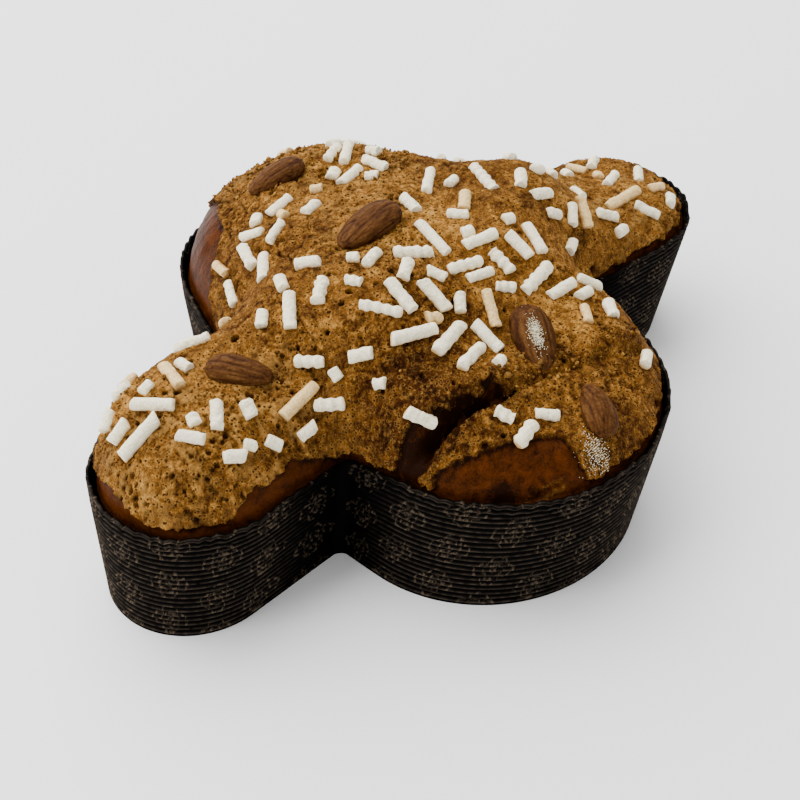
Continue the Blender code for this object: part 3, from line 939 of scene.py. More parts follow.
@dataclass
class BakedCrust:
    """The loaf's upper skin as one fine sheet, cut into the dove's parts along its seams."""

    shape: CrustShape
    step: float = 0.36
    border: float = 10.0
    skirt: float = 1.3
    skirt_drop: float = 7.0
    thickness: float = 1.3
    rim_sink: float = 1.3
    sinks: tuple[Patch, ...] = (
        Patch(-134.0, -22.0, 20.0, 2.2),
        Patch(57.0, -55.0, 22.0, 1.8),
        Patch(138.0, -8.0, 18.0, 1.5),
    )
    bands: tuple[BareBand, ...] = (
        BareBand(-92.0, -44.0, 19.0, 7.0),
        BareBand(-137.0, -5.0, 15.0, 5.0),
        BareBand(-42.0, 82.0, 31.0, 23.0),
        BareBand(125.0, 26.0, 22.0, 5.0),
        BareBand(30.0, 103.0, 26.0, 8.0),
    )
    window_line: tuple[float, float, float] = (-50.0, -73.4, -0.50)
    window_end: float = -15.0
    # Baking tone in patches. The lighter patch on the crown's right face at (34, -45) is painted light, and
    # the darker ones on the crown's front over the crack at (-45, -53) and on the left wing at (40, -90) are
    # painted shade.
    tones: tuple[Patch, ...] = (
        Patch(12.0, -10.0, 24.0, 0.20),
        Patch(34.0, -45.0, 16.0, 0.24),
        Patch(72.0, -10.0, 14.0, 0.14),
        Patch(28.0, -70.0, 12.0, 0.12),
        Patch(-45.0, -53.0, 11.0, -0.32),
        Patch(-108.0, -20.0, 22.0, 0.16),
        Patch(-8.0, 2.0, 16.0, 0.12),
        Patch(-50.0, -22.0, 14.0, 0.12),
        Patch(-20.0, 50.0, 26.0, 0.05),
        Patch(10.0, 50.0, 24.0, 0.08),
        Patch(96.0, -10.0, 26.0, 0.15),
        Patch(-110.0, 6.0, 26.0, 0.10),
        Patch(40.0, -90.0, 14.0, -0.08),
    )
    pales: tuple[Patch, ...] = (
        Patch(-114.0, -2.0, 18.0, 0.30),
        Patch(-84.0, -24.0, 14.0, 0.40),
        Patch(-128.0, -16.0, 10.0, 0.2),
        Patch(98.0, -12.0, 18.0, 0.4),
        Patch(20.0, 44.0, 22.0, 0.25),
        Patch(-6.0, 4.0, 14.0, 0.35),
        Patch(-10.0, 84.0, 20.0, 0.2),
    )
    porous: tuple[Patch, ...] = (Patch(-105.0, -8.0, 26.0, 0.6), Patch(100.0, 0.0, 22.0, 0.3))
    blisters: Bubbles = Bubbles(9.0, (1.5, 2.3), 0.5, (0.5, 0.8), 2.0, 35)
    bubbles: Bubbles = Bubbles(2.6, (0.65, 1.75), 0.85, (0.5, 0.85), 1.2, 40)
    pinholes: Bubbles = Bubbles(1.35, (0.35, 0.7), 0.8, (0.5, 0.85), 0.6, 50)
    crumb_rise: float = 0.34
    lip_rise: float = 0.25
    swell_rise: float = 0.45
    vein_rise: float = 0.2
    edge_rise: float = 0.6
    split_sink: float = 0.7
    sheet_sink: float = 0.7
    crack_gap: tuple[float, float] = (2.6, 2.2)
    fruit: Patch = Patch(-40.5, -92.5, 2.2, 1.0)
    slit: tuple[float, float, float, float] = (-34.5, -97.0, -23.0, -101.3)
    names: tuple[str, ...] = (
        "crust_tail",
        "crust_head",
        "crust_left_wing",
        "crust_right_wing",
        "crust_breast",
        "crust_back",
    )
    points: Grid = field(init=False)
    normals: Grid = field(init=False)
    covered: Grid = field(init=False)

    def sheet(self) -> tuple[Grid, Grid, Grid, Grid]:
        """Lay a square net over the plan and pull its edge cells towards the outline.

        A cell at distance t from the outline moves to border times one minus the cosine of a
        quarter turn's share t over border, so that cells crowd where the skin is steep. Cells
        just outside lie on the outline and hang down inside the paper. Near the outline the
        skin sinks a little, more on some sides, which lets the paper's rim stand free.

        Returns:
            The smooth surface's points, the distances, and the nearest outline places.
        """
        reach_x = 1000.0 * max(-cad_box[0][0], cad_box[1][0])
        reach_y = 1000.0 * max(-cad_box[0][1], cad_box[1][1])
        xs = np.arange(-reach_x, reach_x + self.step, self.step)
        ys = np.arange(-reach_y, reach_y + self.step, self.step)
        x, y = np.meshgrid(xs, ys, indexing="ij")
        flat, foot_x, foot_y = self.shape.plan.nearest(x, y)
        turn = 0.5 * np.pi * np.clip(flat, 0.0, self.border) / self.border
        distance = np.where(flat < self.border, self.border * (1.0 - np.cos(turn)), flat)
        pull = np.where(flat < self.border, distance / np.maximum(np.abs(flat), 1e-6), 1.0)
        pull = np.where(flat <= 0.0, 0.0, pull)
        x = foot_x + (x - foot_x) * pull
        y = foot_y + (y - foot_y) * pull
        z = self.shape.height(x, y, distance)
        foot = np.stack([foot_x, foot_y, 0.0 * foot_x], -1)
        sink = self.rim_sink * (1.0 + 0.8 * value_noise(foot, 21.0, 3)) + self.patches(foot, self.sinks)
        z = z - np.maximum(sink, 0.0) * np.exp(-distance / 3.2)
        z = np.where(flat < 0.0, z + np.maximum(flat, -self.skirt) * self.skirt_drop / self.skirt, z)
        return np.stack([x, y, z], -1), flat, foot_x, foot_y

    def cover(self, points: Grid, foot_x: Grid, foot_y: Grid) -> Grid:
        """Work out where the glaze lies.

        Bare are: a low band over the rim, higher on some sides; a window on the left wing, below
        a slanting line and left of an upright one; and the inside of the crack, where it gapes.

        Args:
            points: places on the smooth surface.
            foot_x: the nearest outline places along X.
            foot_y: the nearest outline places along Y.

        Returns:
            How far each place lies inside the glaze, in millimetres, less than 0 where bare.
        """
        x, y = points[..., 0], points[..., 1]
        band = np.full(foot_x.shape, 0.6)
        for bare in self.bands:
            away = np.hypot(foot_x - bare.x, foot_y - bare.y) / bare.reach
            band = np.maximum(band, bare.height * np.exp(-(away**4)))
        over_band = points[..., 2] - self.shape.plan.height - band
        over_line = y - self.window_line[1] - self.window_line[2] * (x - self.window_line[0])
        past_end = x - self.window_end
        beside = np.maximum(over_line, past_end) + 0.8 * np.exp(-np.abs(over_line - past_end) / 3.0)
        across, _ = self.shape.across_crack(x, y)
        gape = self.shape.opened(x)
        width = self.crack_gap[0] + self.crack_gap[1] * self.shape.mouth(x)
        beside_crack = np.where(gape > 0.2, np.abs(across - 0.3) - width * gape, np.inf)
        ragged = 1.5 * layered_noise(points, 5.5, 3, 5) + 0.5 * value_noise(points, 1.4, 6)
        return np.minimum(np.minimum(over_band, beside), beside_crack) + ragged

    def patches(self, points: Grid, patches: tuple[Patch, ...]) -> Grid:
        """Add up bell-shaped patches of strength."""
        total = np.zeros(points.shape[:-1])
        for patch in patches:
            away = (points[..., 0] - patch.x) ** 2 + (points[..., 1] - patch.y) ** 2
            total += patch.strength * np.exp(-away / (2.0 * patch.reach**2))
        return total

    def from_slit(self, points: Grid) -> Grid:
        """Return the distance in plan from the torn slit, a straight line."""
        start = np.array(self.slit[:2])
        run = np.array(self.slit[2:]) - start
        off = points[..., :2] - start
        along = np.clip((off @ run) / (run @ run), 0.0, 1.0)
        return np.linalg.norm(off - along[..., None] * run, axis=-1)

    def build(self, material: bpy.types.Material) -> list[bpy.types.Object]:
        """Make the sheet's relief and its parts.

        Along the surface's own direction, the glaze stands a thickness proud, with crumb from
        layered noise and with bubbles of three sizes sunk in it, each with a raised lip. Veins and
        a soft swell raise it, thin splits cut it, and it curls up along its edge. Bare dough stays
        smooth, but for a sunk piece of fruit and a torn slit. The tone and pit numbers paint shade
        into the pits, blisters, splits and the gaping crack, and a painted shadow onto the dough
        just past the glaze's edge.

        Args:
            material: the baked skin.

        Returns:
            The pieces, which together stand for the cake's solid.
        """
        base, flat, foot_x, foot_y = self.sheet()
        upward = self.directions(base)
        cover = self.cover(base, foot_x, foot_y)
        glazed = smoothstep(-0.2, 0.25, cover)
        warped = base + 0.35 * np.stack([value_noise(base, 1.3, 30 + k) for k in range(3)], -1)
        large = self.bubbles.inside(warped)
        dense = 0.25 + 0.75 * smoothstep(-0.4, 0.4, layered_noise(base, 13.0, 2, 55))
        dense = np.clip(dense * (0.6 + self.patches(base, self.porous)), 0.0, 1.0)
        deep = smoothstep(*self.bubbles.wall, large) * dense
        fine = smoothstep(*self.pinholes.wall, self.pinholes.inside(warped)) * dense
        hole = smoothstep(*self.blisters.wall, self.blisters.inside(warped))
        lip = smoothstep(0.05, 0.3, large) * (1.0 - smoothstep(0.35, 0.5, large)) * dense
        crumb = 0.5 * value_noise(base, 2.4, 60) + value_noise(base, 1.2, 61)
        crumb = crumb + 0.8 * value_noise(base, 0.7, 62)
        soft = layered_noise(base, 9.0, 3, 70)
        veins = smoothstep(0.34, 0.04, np.abs(layered_noise(base, 7.0, 3, 80)))
        rugged = 0.35 + 0.65 * smoothstep(-0.2, 0.6, layered_noise(base, 15.0, 2, 57))
        split = smoothstep(0.06, 0.02, np.abs(layered_noise(base, 15.0, 3, 85)))
        split = split * smoothstep(0.2, 0.45, value_noise(base, 17.0, 88))
        raised = self.crumb_rise * crumb * rugged + self.lip_rise * lip + self.swell_rise * soft
        raised = raised + self.vein_rise * veins + self.edge_rise * bell(cover - 0.7, 0.7)
        sunk = self.bubbles.sink * deep + self.pinholes.sink * fine + self.blisters.sink * hole
        relief = raised - sunk - self.split_sink * split
        dent = self.patches(base, (self.fruit,))
        slit = self.from_slit(base)
        skin = 0.25 * soft + 0.05 * crumb - 1.2 * dent - 0.8 * bell(slit, 0.6)
        lift = mix(skin, self.thickness + relief, glazed) - self.sheet_sink
        lift = np.where(flat < 0.0, 0.0, lift * smoothstep(0.0, 1.0, flat))
        self.points = base + upward * lift[..., None]
        self.normals = self.directions(self.points)
        self.covered = np.where(flat > 3.0, cover, -9.0)
        torn_lip = 0.6 * bell(slit - 0.7, 0.3) * (base[..., 1] < -90.0)
        broken = np.clip(0.75 * veins + 0.35 * crumb + 0.4 * lip, 0.0, 1.0)
        # Painted shade: the tone darkens inside the gaping crack, and a painted shadow darkens the bare dough
        # just past the glaze's edge.
        across, _ = self.shape.across_crack(base[..., 0], base[..., 1])
        depth = self.shape.opened(base[..., 0]) * bell(across + 0.5, 3.2)
        tone = 0.43 + self.patches(base, self.tones) - 0.45 * depth - 0.5 * bell(cover + 0.5, 0.6)
        looks = {
            "tone": tone + 0.14 * soft + 0.13 * crumb * rugged - 1.6 * dent,
            # The pits, blisters and splits are painted dark as painted shade in the hollows.
            "pit": np.clip(0.85 * deep + 0.5 * fine + hole + 0.5 * split, 0.0, 0.92) * glazed,
            "crumb": np.clip((0.7 * (crumb - 0.5) + 0.15 * lip) * rugged, 0.0, 0.6) * glazed,
            "pale": np.clip(self.patches(base, self.pales) * broken, 0.0, 0.9) * (1.0 - deep) * glazed,
            "bare": np.clip(1.0 - glazed - torn_lip, 0.0, 1.0),
        }
        parts = zip(self.names, self.regions(base, flat))
        return [self.part(name, cells, looks, material) for name, cells in parts]

    def directions(self, points: Grid) -> Grid:
        """Return the unit directions across the sheet, from its two grid directions' product."""
        across = np.cross(np.gradient(points, axis=0), np.gradient(points, axis=1))
        across[..., 2] = np.maximum(across[..., 2], 1e-9)
        return across / np.linalg.norm(across, axis=-1, keepdims=True)

    def regions(self, base: Grid, flat: Grid) -> list[Grid]:
        """Say which cells belong to the tail, head, left wing, right wing, breast and back."""
        kept = np.minimum.reduce([flat[:-1, :-1], flat[1:, :-1], flat[:-1, 1:], flat[1:, 1:]]) > -self.skirt
        x = base[:-1, :-1, 0]
        y = base[:-1, :-1, 1]
        across, _ = self.shape.across_crack(x, y)
        tail = kept & (x < -62.0)
        head = kept & (x > 62.0)
        body = kept & ~tail & ~head
        left = body & (across < 0.0)
        right = body & (y > 30.0)
        breast = body & ~left & (y < -18.0)
        return [tail, head, left, right, breast, body & ~left & ~right & ~breast]

    def part(
        self, name: str, cells: Grid, looks: dict[str, Grid], material: bpy.types.Material
    ) -> bpy.types.Object:
        """Cut one region out of the sheet as a mesh of its own.

        Args:
            name: the piece's name.
            cells: which of the sheet's cells belong to it.
            looks: the numbers that the material reads, over the whole sheet.
            material: the baked skin.

        Returns:
            The piece.
        """
        i, j = np.nonzero(cells)
        width = self.points.shape[1]
        first = i * width + j
        corners = np.stack([first, first + width, first + width + 1, first + 1], -1)
        used, faces = np.unique(corners, return_inverse=True)
        piece = make_mesh(
            name,
            self.points.reshape(-1, 3)[used],
            faces.reshape(corners.shape),
            material,
            {label: values.ravel()[used] for label, values in looks.items()},
            normals=self.normals.reshape(-1, 3)[used],
        )
        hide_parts("cake")
        return piece

    def scatter(self, draw: np.random.Generator, weight: Grid, count: int) -> tuple[Grid, Grid]:
        """Draw places on the finished sheet, with their directions, by a weight at each cell."""
        chance = (weight * (self.covered > -9.0)).ravel()
        chosen = draw.choice(chance.size, count, p=chance / chance.sum())
        return self.points.reshape(-1, 3)[chosen], self.normals.reshape(-1, 3)[chosen]


@dataclass
class Loaf:
    """The body of the cake under its skin, closed all round, down to the case's floor."""

    shape: CrustShape
    floor: float = 1.5
    side_top: float = 38.0
    inset: float = 4.4
    sunk: float = 6.5
    around: tuple[int, int, int] = (60, 8, 10)
    shares: tuple[float, ...] = (0.93, 0.88, 0.82, 0.75, 0.67, 0.58, 0.48, 0.37, 0.25, 0.12)

    def build(self, material: bpy.types.Material) -> bpy.types.Object:
        """Make the body: the case's plan from the floor up, then shrinking copies of it.

        Args:
            material: the baked skin, all bare.

        Returns:
            The piece.
        """
        plan = self.shape.plan
        low = plan.belt(self.floor / plan.height, plan.paper + plan.wall_gap, self.around)
        rim = plan.belt(1.0, self.inset, self.around)
        rings = [
            np.column_stack([low, np.full(len(low), self.floor)]),
            np.column_stack([mix(low, rim, 0.7), np.full(len(rim), self.side_top)]),
        ]
        for share in self.shares:
            flat = rim * share
            distance = np.abs(plan.nearest(flat[:, 0], flat[:, 1])[0])
            top = self.shape.height(flat[:, 0], flat[:, 1], distance) - self.sunk
            rings.append(np.column_stack([flat, np.maximum(top, self.side_top)]))
        middle = self.shape.frame_at(0.0, 0.0)[0]
        ends = np.array([[0.0, 0.0, self.floor], [0.0, 0.0, middle.z - self.sunk]])
        points = np.concatenate([ends[:1], np.concatenate(rings), ends[1:]])
        looks = {label: np.zeros(len(points)) for label in ("pit", "crumb", "pale")}
        looks["tone"] = np.full(len(points), 0.3)
        looks["bare"] = np.ones(len(points))
        piece = make_mesh("loaf", points, closed_faces(len(rings), len(rim)), material, looks)
        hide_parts("cake")
        return piece


@dataclass
class CrustCrumbs:
    """Loose crumbs and flakes of the glaze, thickest where it broke."""

    crust: BakedCrust
    count: int = 1500
    flakes: int = 420
    crumb_sizes: tuple[float, float] = (0.2, 0.5)
    flake_sizes: tuple[float, float] = (0.5, 1.1)
    swing: tuple[float, float] = (0.65, 1.35)
    squash: tuple[float, float] = (0.5, 1.2)
    stand: float = 0.35
    tones: tuple[float, float] = (0.40, 0.85)
    palest: float = 0.5
    seed: int = 31
    rings: int = 3
    around: int = 6
    zones: tuple[Patch, ...] = (
        Patch(-6.0, 6.0, 12.0, 1.0),
        Patch(-8.0, 84.0, 22.0, 1.0),
        Patch(-122.0, 16.0, 16.0, 1.0),
        Patch(30.0, 44.0, 16.0, 0.7),
        Patch(-18.0, -67.0, 7.0, 1.5),
        Patch(2.0, -71.0, 8.0, 1.2),
        Patch(34.0, -74.0, 9.0, 1.0),
    )

    def build(self, material: bpy.types.Material) -> bpy.types.Object:
        """Make every crumb as a small closed lump, its radius swung by seeded noise.

        Args:
            material: the baked skin.

        Returns:
            The piece.
        """
        draw = np.random.default_rng(self.seed)
        covered = self.crust.covered > 0.8
        near = self.crust.patches(self.crust.points, self.zones)
        place, normal = self.crust.scatter(draw, covered * (0.08 + near), self.count)
        flake_place, flake_normal = self.crust.scatter(draw, covered * near**2, self.flakes)
        place = np.concatenate([place, flake_place])
        normal = np.concatenate([normal, flake_normal])
        total = self.count + self.flakes
        size = draw.uniform(*self.crumb_sizes, total)
        size[self.count :] = draw.uniform(*self.flake_sizes, self.flakes)
        polar = np.linspace(0.0, np.pi, self.rings + 2)[:, None]
        turn = np.linspace(0.0, 2.0 * np.pi, self.around, endpoint=False)
        rows = [np.sin(polar) * np.cos(turn), np.sin(polar) * np.sin(turn), np.cos(polar) + 0.0 * turn]
        ball = pole_to_pole(np.stack(rows, -1)[None])
        swing = draw.uniform(*self.swing, (total, len(ball), 1))
        squash = draw.uniform(*self.squash, (total, 1, 3))
        points = tumble(draw, ball[None] * swing * squash * size[:, None, None], place)
        points += (self.stand * size[:, None] * normal)[:, None]
        corners = len(ball)
        looks = {label: np.zeros(total * corners) for label in ("pit", "crumb", "bare")}
        looks["tone"] = np.repeat(draw.uniform(*self.tones, total), corners)
        looks["pale"] = np.repeat(draw.uniform(0.0, self.palest, total) ** 2, corners)
        faces = closed_faces(self.rings, self.around)[:, ::-1]
        piece = make_mesh(
            "crust_crumbs", points.reshape(-1, 3), repeat_faces(faces, corners, total), material, looks
        )
        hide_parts("cake")
        return piece


@dataclass(frozen=True)
class Almond:
    """An almond on the crust: place, heading of its pointed end in degrees, and length."""

    x: float
    y: float
    heading: float
    length: float


@dataclass
class AlmondSet:
    """The five whole almonds, half sunk in their sockets."""

    shape: CrustShape
    places: tuple[Almond, ...] = (
        Almond(-8.2, 62.3, 170.0, 24.0),
        Almond(-10.6, 5.6, -177.0, 27.5),
        Almond(-80.0, -8.3, -55.0, 23.0),
        Almond(4.1, -60.5, -118.0, 27.0),
        Almond(1.3, -92.8, 65.0, 20.5),
    )
    width_share: float = 0.56
    thickness: float = 8.6
    rise: float = 1.6
    taper: float = 0.20
    tip: float = 0.03
    blunt: float = 0.86
    rings: int = 110
    around: int = 96
    wrinkle: float = 0.5
    smooth_almond: int = 5
    smooth_share: float = 0.4
    stretch: float = 9.0

    def matrix(self, almond: Almond) -> Matrix:
        """Return where an almond lies."""
        return self.shape.lying_matrix(almond.x, almond.y, math.radians(almond.heading), self.rise)

    def skin(self, almond: Almond, salt: int, wrinkle: float) -> tuple[Grid, Grid]:
        """Work out one almond: a flattened sphere, tapered to a soft point, with long folds.

        The folds are noise stretched nine times along the almond, with a groove wherever it
        crosses zero, and soft undulation from a wider noise.

        Args:
            almond: its place and length.
            salt: picks its folds.
            wrinkle: depth of the folds.

        Returns:
            The points in place, and the fold height at each from 0 to 1, which the finish turns into painted
            shade in the grooves.
        """
        polar = np.linspace(0.0, np.pi, self.rings + 2)[:, None]
        turn = np.linspace(0.0, 2.0 * np.pi, self.around, endpoint=False)[None, :]
        share = -np.cos(polar) + 0.0 * turn
        narrow = 1.0 - self.taper * share
        half = 0.5 * almond.length
        x = half * (share + self.tip * np.maximum(share, 0.0) ** 3) / (1.0 + 0.5 * self.tip)
        y = half * self.width_share * np.sin(polar) ** self.blunt * np.cos(turn) * narrow
        z = 0.5 * self.thickness * np.sin(polar) ** self.blunt * np.sin(turn) * narrow
        local = np.stack([x, y, z], -1)
        drift = 0.7 * value_noise(local, 7.0, salt + 9)
        stretched = np.stack([x / self.stretch, y + drift, z + drift], -1)
        wide = value_noise(stretched, 2.6, salt)
        close = value_noise(stretched, 1.05, salt + 1)
        fine = value_noise(stretched * (2.0, 1.0, 1.0), 0.8, salt + 2)
        groove = 0.35 * np.exp(-((wide / 0.16) ** 2)) + 0.45 * np.exp(-((close / 0.22) ** 2))
        groove = groove + 0.25 * np.exp(-((fine / 0.3) ** 2))
        fold = 0.8 + 0.25 * np.abs(wide) - groove
        centre = np.stack([x * 0.98, 0.0 * y, 0.0 * z], -1)
        outward = local - centre
        outward /= np.linalg.norm(outward, axis=-1, keepdims=True) + 1e-6
        local = local + outward * ((fold - 0.8) * wrinkle * np.sin(polar))[..., None]
        place = np.array(self.matrix(almond))
        points = local @ place[:3, :3].T + place[:3, 3]
        return pole_to_pole(points[None]), np.clip(pole_to_pole(fold[None, ..., None]).ravel(), 0.0, 1.0)

    def build(self, material: bpy.types.Material) -> list[bpy.types.Object]:
        """Make the almonds, each in the place of its solid."""
        pieces = []
        for number, almond in enumerate(self.places, start=1):
            wrinkle = self.wrinkle * (self.smooth_share if number == self.smooth_almond else 1.0)
            points, fold = self.skin(almond, 100 + 10 * number, wrinkle)
            faces = closed_faces(self.rings, self.around)
            piece = make_mesh(f"almond_skin_{number}", points, faces, material, {"fold": fold})
            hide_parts(f"almond_{number}")
            pieces.append(piece)
        return pieces


class Coat(Enum):
    """How a sugar rod came out of the oven."""

    WHITE = "sugar_rods"
    SYRUP = "syrup_coated_rods"


@dataclass(frozen=True)
class RodPatch:
    """A patch of sugar rods: place, spread, how many, and their mean length."""

    x: float
    y: float
    spread: float
    count: int
    mean_length: float


@dataclass
class SugarRods:
    """Short pressed rods of white sugar, laid on the crust by a seeded rule."""

    shape: CrustShape
    almonds: AlmondSet
    patches: tuple[RodPatch, ...] = (
        RodPatch(-124.0, -4.0, 7.0, 3, 11.0),
        RodPatch(-112.0, 10.0, 7.0, 3, 7.0),
        RodPatch(-100.0, -25.0, 6.0, 6, 7.6),
        RodPatch(-90.0, -2.0, 8.0, 4, 9.0),
        RodPatch(-72.0, -33.0, 7.0, 8, 9.0),
        RodPatch(-53.0, -58.0, 5.0, 2, 8.5),
        RodPatch(-48.0, 44.0, 10.0, 8, 7.7),
        RodPatch(-42.0, -3.0, 8.0, 6, 8.5),
        RodPatch(-30.0, -30.0, 7.0, 7, 9.0),
        RodPatch(-21.0, -77.0, 7.0, 4, 7.1),
        RodPatch(-18.0, 48.0, 9.0, 4, 9.3),
        RodPatch(-18.0, -44.0, 6.0, 7, 10.7),
        RodPatch(-4.0, -17.0, 8.0, 8, 11.0),
        RodPatch(13.0, -36.0, 8.0, 7, 9.0),
        RodPatch(16.0, 45.0, 7.0, 7, 8.0),
        RodPatch(22.0, -2.0, 10.0, 6, 11.0),
        RodPatch(33.0, -54.0, 6.0, 4, 11.0),
        RodPatch(36.0, -85.0, 3.0, 2, 5.7),
        RodPatch(57.0, -5.0, 6.0, 4, 7.0),
        RodPatch(76.0, -20.0, 8.0, 8, 9.1),
        RodPatch(112.0, -14.0, 8.0, 6, 9.7),
        RodPatch(113.0, 13.0, 8.0, 4, 7.6),
        RodPatch(30.0, 72.0, 12.0, 3, 9.0),
        RodPatch(52.0, 30.0, 9.0, 3, 8.0),
    )
    seed: int = 4053
    tries: int = 60
    radius: float = 2.1
    radius_spread: float = 0.12
    length_spread: float = 0.42
    length_limits: tuple[float, float] = (4.2, 17.0)
    rise: float = 1.0
    spacing: float = 4.7
    rim_clearance: float = 5.0
    almond_room: tuple[float, float] = (17.0, 11.4)
    end_places: tuple[float, ...] = (0.0, 0.0, 0.05, 0.2, 0.55)
    end_shares: tuple[float, ...] = (0.0, 0.5, 0.86, 0.97, 1.0)
    middle_rings: int = 22
    around: int = 24
    syrup_share: float = 0.15
    beaded_share: float = 0.22
    bead_swell: float = 0.11
    bead_length: float = 3.3
    lumps: tuple[float, float] = (0.06, 0.15)
    lean: float = 0.13

    def clear(self, spots: Grid, taken: Grid) -> bool:
        """Say whether a rod's points keep clear of the outline, the almonds and other rods."""
        if self.shape.plan.nearest(spots[:, 0], spots[:, 1])[0].min() < self.rim_clearance:
            return False
        for almond in self.almonds.places:
            turn = math.radians(almond.heading)
            off_x = spots[:, 0] - almond.x
            off_y = spots[:, 1] - almond.y
            along = off_x * math.cos(turn) + off_y * math.sin(turn)
            across = off_y * math.cos(turn) - off_x * math.sin(turn)
            if ((along / self.almond_room[0]) ** 2 + (across / self.almond_room[1]) ** 2).min() < 1.0:
                return False
        if len(taken) == 0:
            return True
        gaps = spots[:, None, :] - taken[None, :, :]
        return bool(np.hypot(gaps[..., 0], gaps[..., 1]).min() > self.spacing)

    def places(self) -> list[tuple[Matrix, float, float]]:
        """Draw each rod's matrix, radius and length, the longest of a patch first."""
        draw = np.random.default_rng(self.seed)
        rods = []
        taken = np.zeros((0, 2))
        for patch in self.patches:
            lengths = patch.mean_length * (1.0 + self.length_spread * draw.standard_normal(patch.count))
            for length in np.sort(np.clip(lengths, *self.length_limits))[::-1]:
                for _ in range(self.tries):
                    x, y = draw.normal((patch.x, patch.y), patch.spread)
                    heading = draw.uniform(0.0, math.pi)
                    radius = self.radius * (1.0 + self.radius_spread * draw.uniform(-1.0, 1.0))
                    half = 0.5 * length - 0.5 * radius
                    steps = np.linspace(-half, half, 3)
                    spots = np.column_stack(
                        [x + steps * math.cos(heading), y + steps * math.sin(heading)]
                    )
                    if self.clear(spots, taken):
                        rods.append((self.shape.lying_matrix(x, y, heading, self.rise), radius, length))
                        taken = np.concatenate([taken, spots])
                        break
        return rods

    def build(self, finishes: dict[Coat, bpy.types.Material]) -> list[bpy.types.Object]:
        """Make the rods as two pieces, one for each coat.

        A rod is a straight bar, broken off nearly square: its rings crowd at the ends, where the
        radius falls from full to a half within half a millimetre. Each end leans by its own small
        shear. Noise makes the bar lumpy, and some rods bulge in beads.

        Args:
            finishes: the material for each coat.

        Returns:
            The pieces.
        """
        rods = self.places()
        count = len(rods)
        draw = np.random.default_rng(self.seed + 1)
        coats = draw.random(count) < self.syrup_share
        beaded = (draw.random(count) < self.beaded_share) * self.bead_swell
        lumpy = draw.uniform(*self.lumps, count)
        lean = draw.normal(0.0, self.lean, (count, 2, 2))
        lengths = np.array([rod[2] for rod in rods])[:, None]
        radii = np.array([rod[1] for rod in rods])[:, None, None]
        ends = np.array(self.end_places)
        middle = np.linspace(0.0, 1.0, self.middle_rings + 2)[1:-1]
        half = 0.5 * lengths
        along = np.concatenate(
            [ends - half, (ends[-1] - half) + middle * (lengths - 2.0 * ends[-1]), half - ends[::-1]], axis=1
        )[:, :, None]
        shares = np.concatenate([self.end_shares, np.ones(self.middle_rings), self.end_shares[::-1]])
        turn = np.linspace(0.0, 2.0 * np.pi, self.around, endpoint=False)[None, None, :]
        x = along + 0.0 * turn
        ring = radii * shares[None, :, None]
        local = np.stack([x, ring * np.cos(turn), ring * np.sin(turn)], -1)
        matrices = np.array([np.array(rod[0]) for rod in rods])
        shifted = local + 50.0 * np.arange(count)[:, None, None, None]
        rough = layered_noise(shifted, 2.4, 2, 90) + 0.9 * value_noise(shifted, 1.0, 93)
        beads = np.sin(2.0 * np.pi * x / self.bead_length + 7.0 * lengths[..., None])
        swell = 1.0 + lumpy[:, None, None] * rough + beaded[:, None, None] * beads
        local[..., 1:] *= swell[..., None]
        to_end = np.clip(np.abs(x) / half[..., None] * 1.6 - 0.6, 0.0, 1.0) ** 2
        leans = np.where(x[..., None] < 0.0, lean[:, None, None, 0], lean[:, None, None, 1])
        shear = (leans * local[..., 1:]).sum(-1)
        local[..., 0] += to_end * (shear + 0.22 * value_noise(shifted, 1.3, 95))
        points = np.einsum("nij,nabj->nabi", matrices[:, :3, :3], local) + matrices[:, None, None, :3, 3]
        sunk = 0.5 - 0.5 * local[..., 2] / radii
        rings = len(shares) - 2
        pieces = []
        for coat in Coat:
            chosen = coats if coat is Coat.SYRUP else ~coats
            piece = make_mesh(
                coat.value,
                pole_to_pole(points[chosen]),
                repeat_faces(closed_faces(rings, self.around), rings * self.around + 2, chosen.sum()),
                finishes[coat],
                {"sunk": pole_to_pole(sunk[chosen][..., None]).ravel()},
            )
            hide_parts("cake")
            pieces.append(piece)
        return pieces


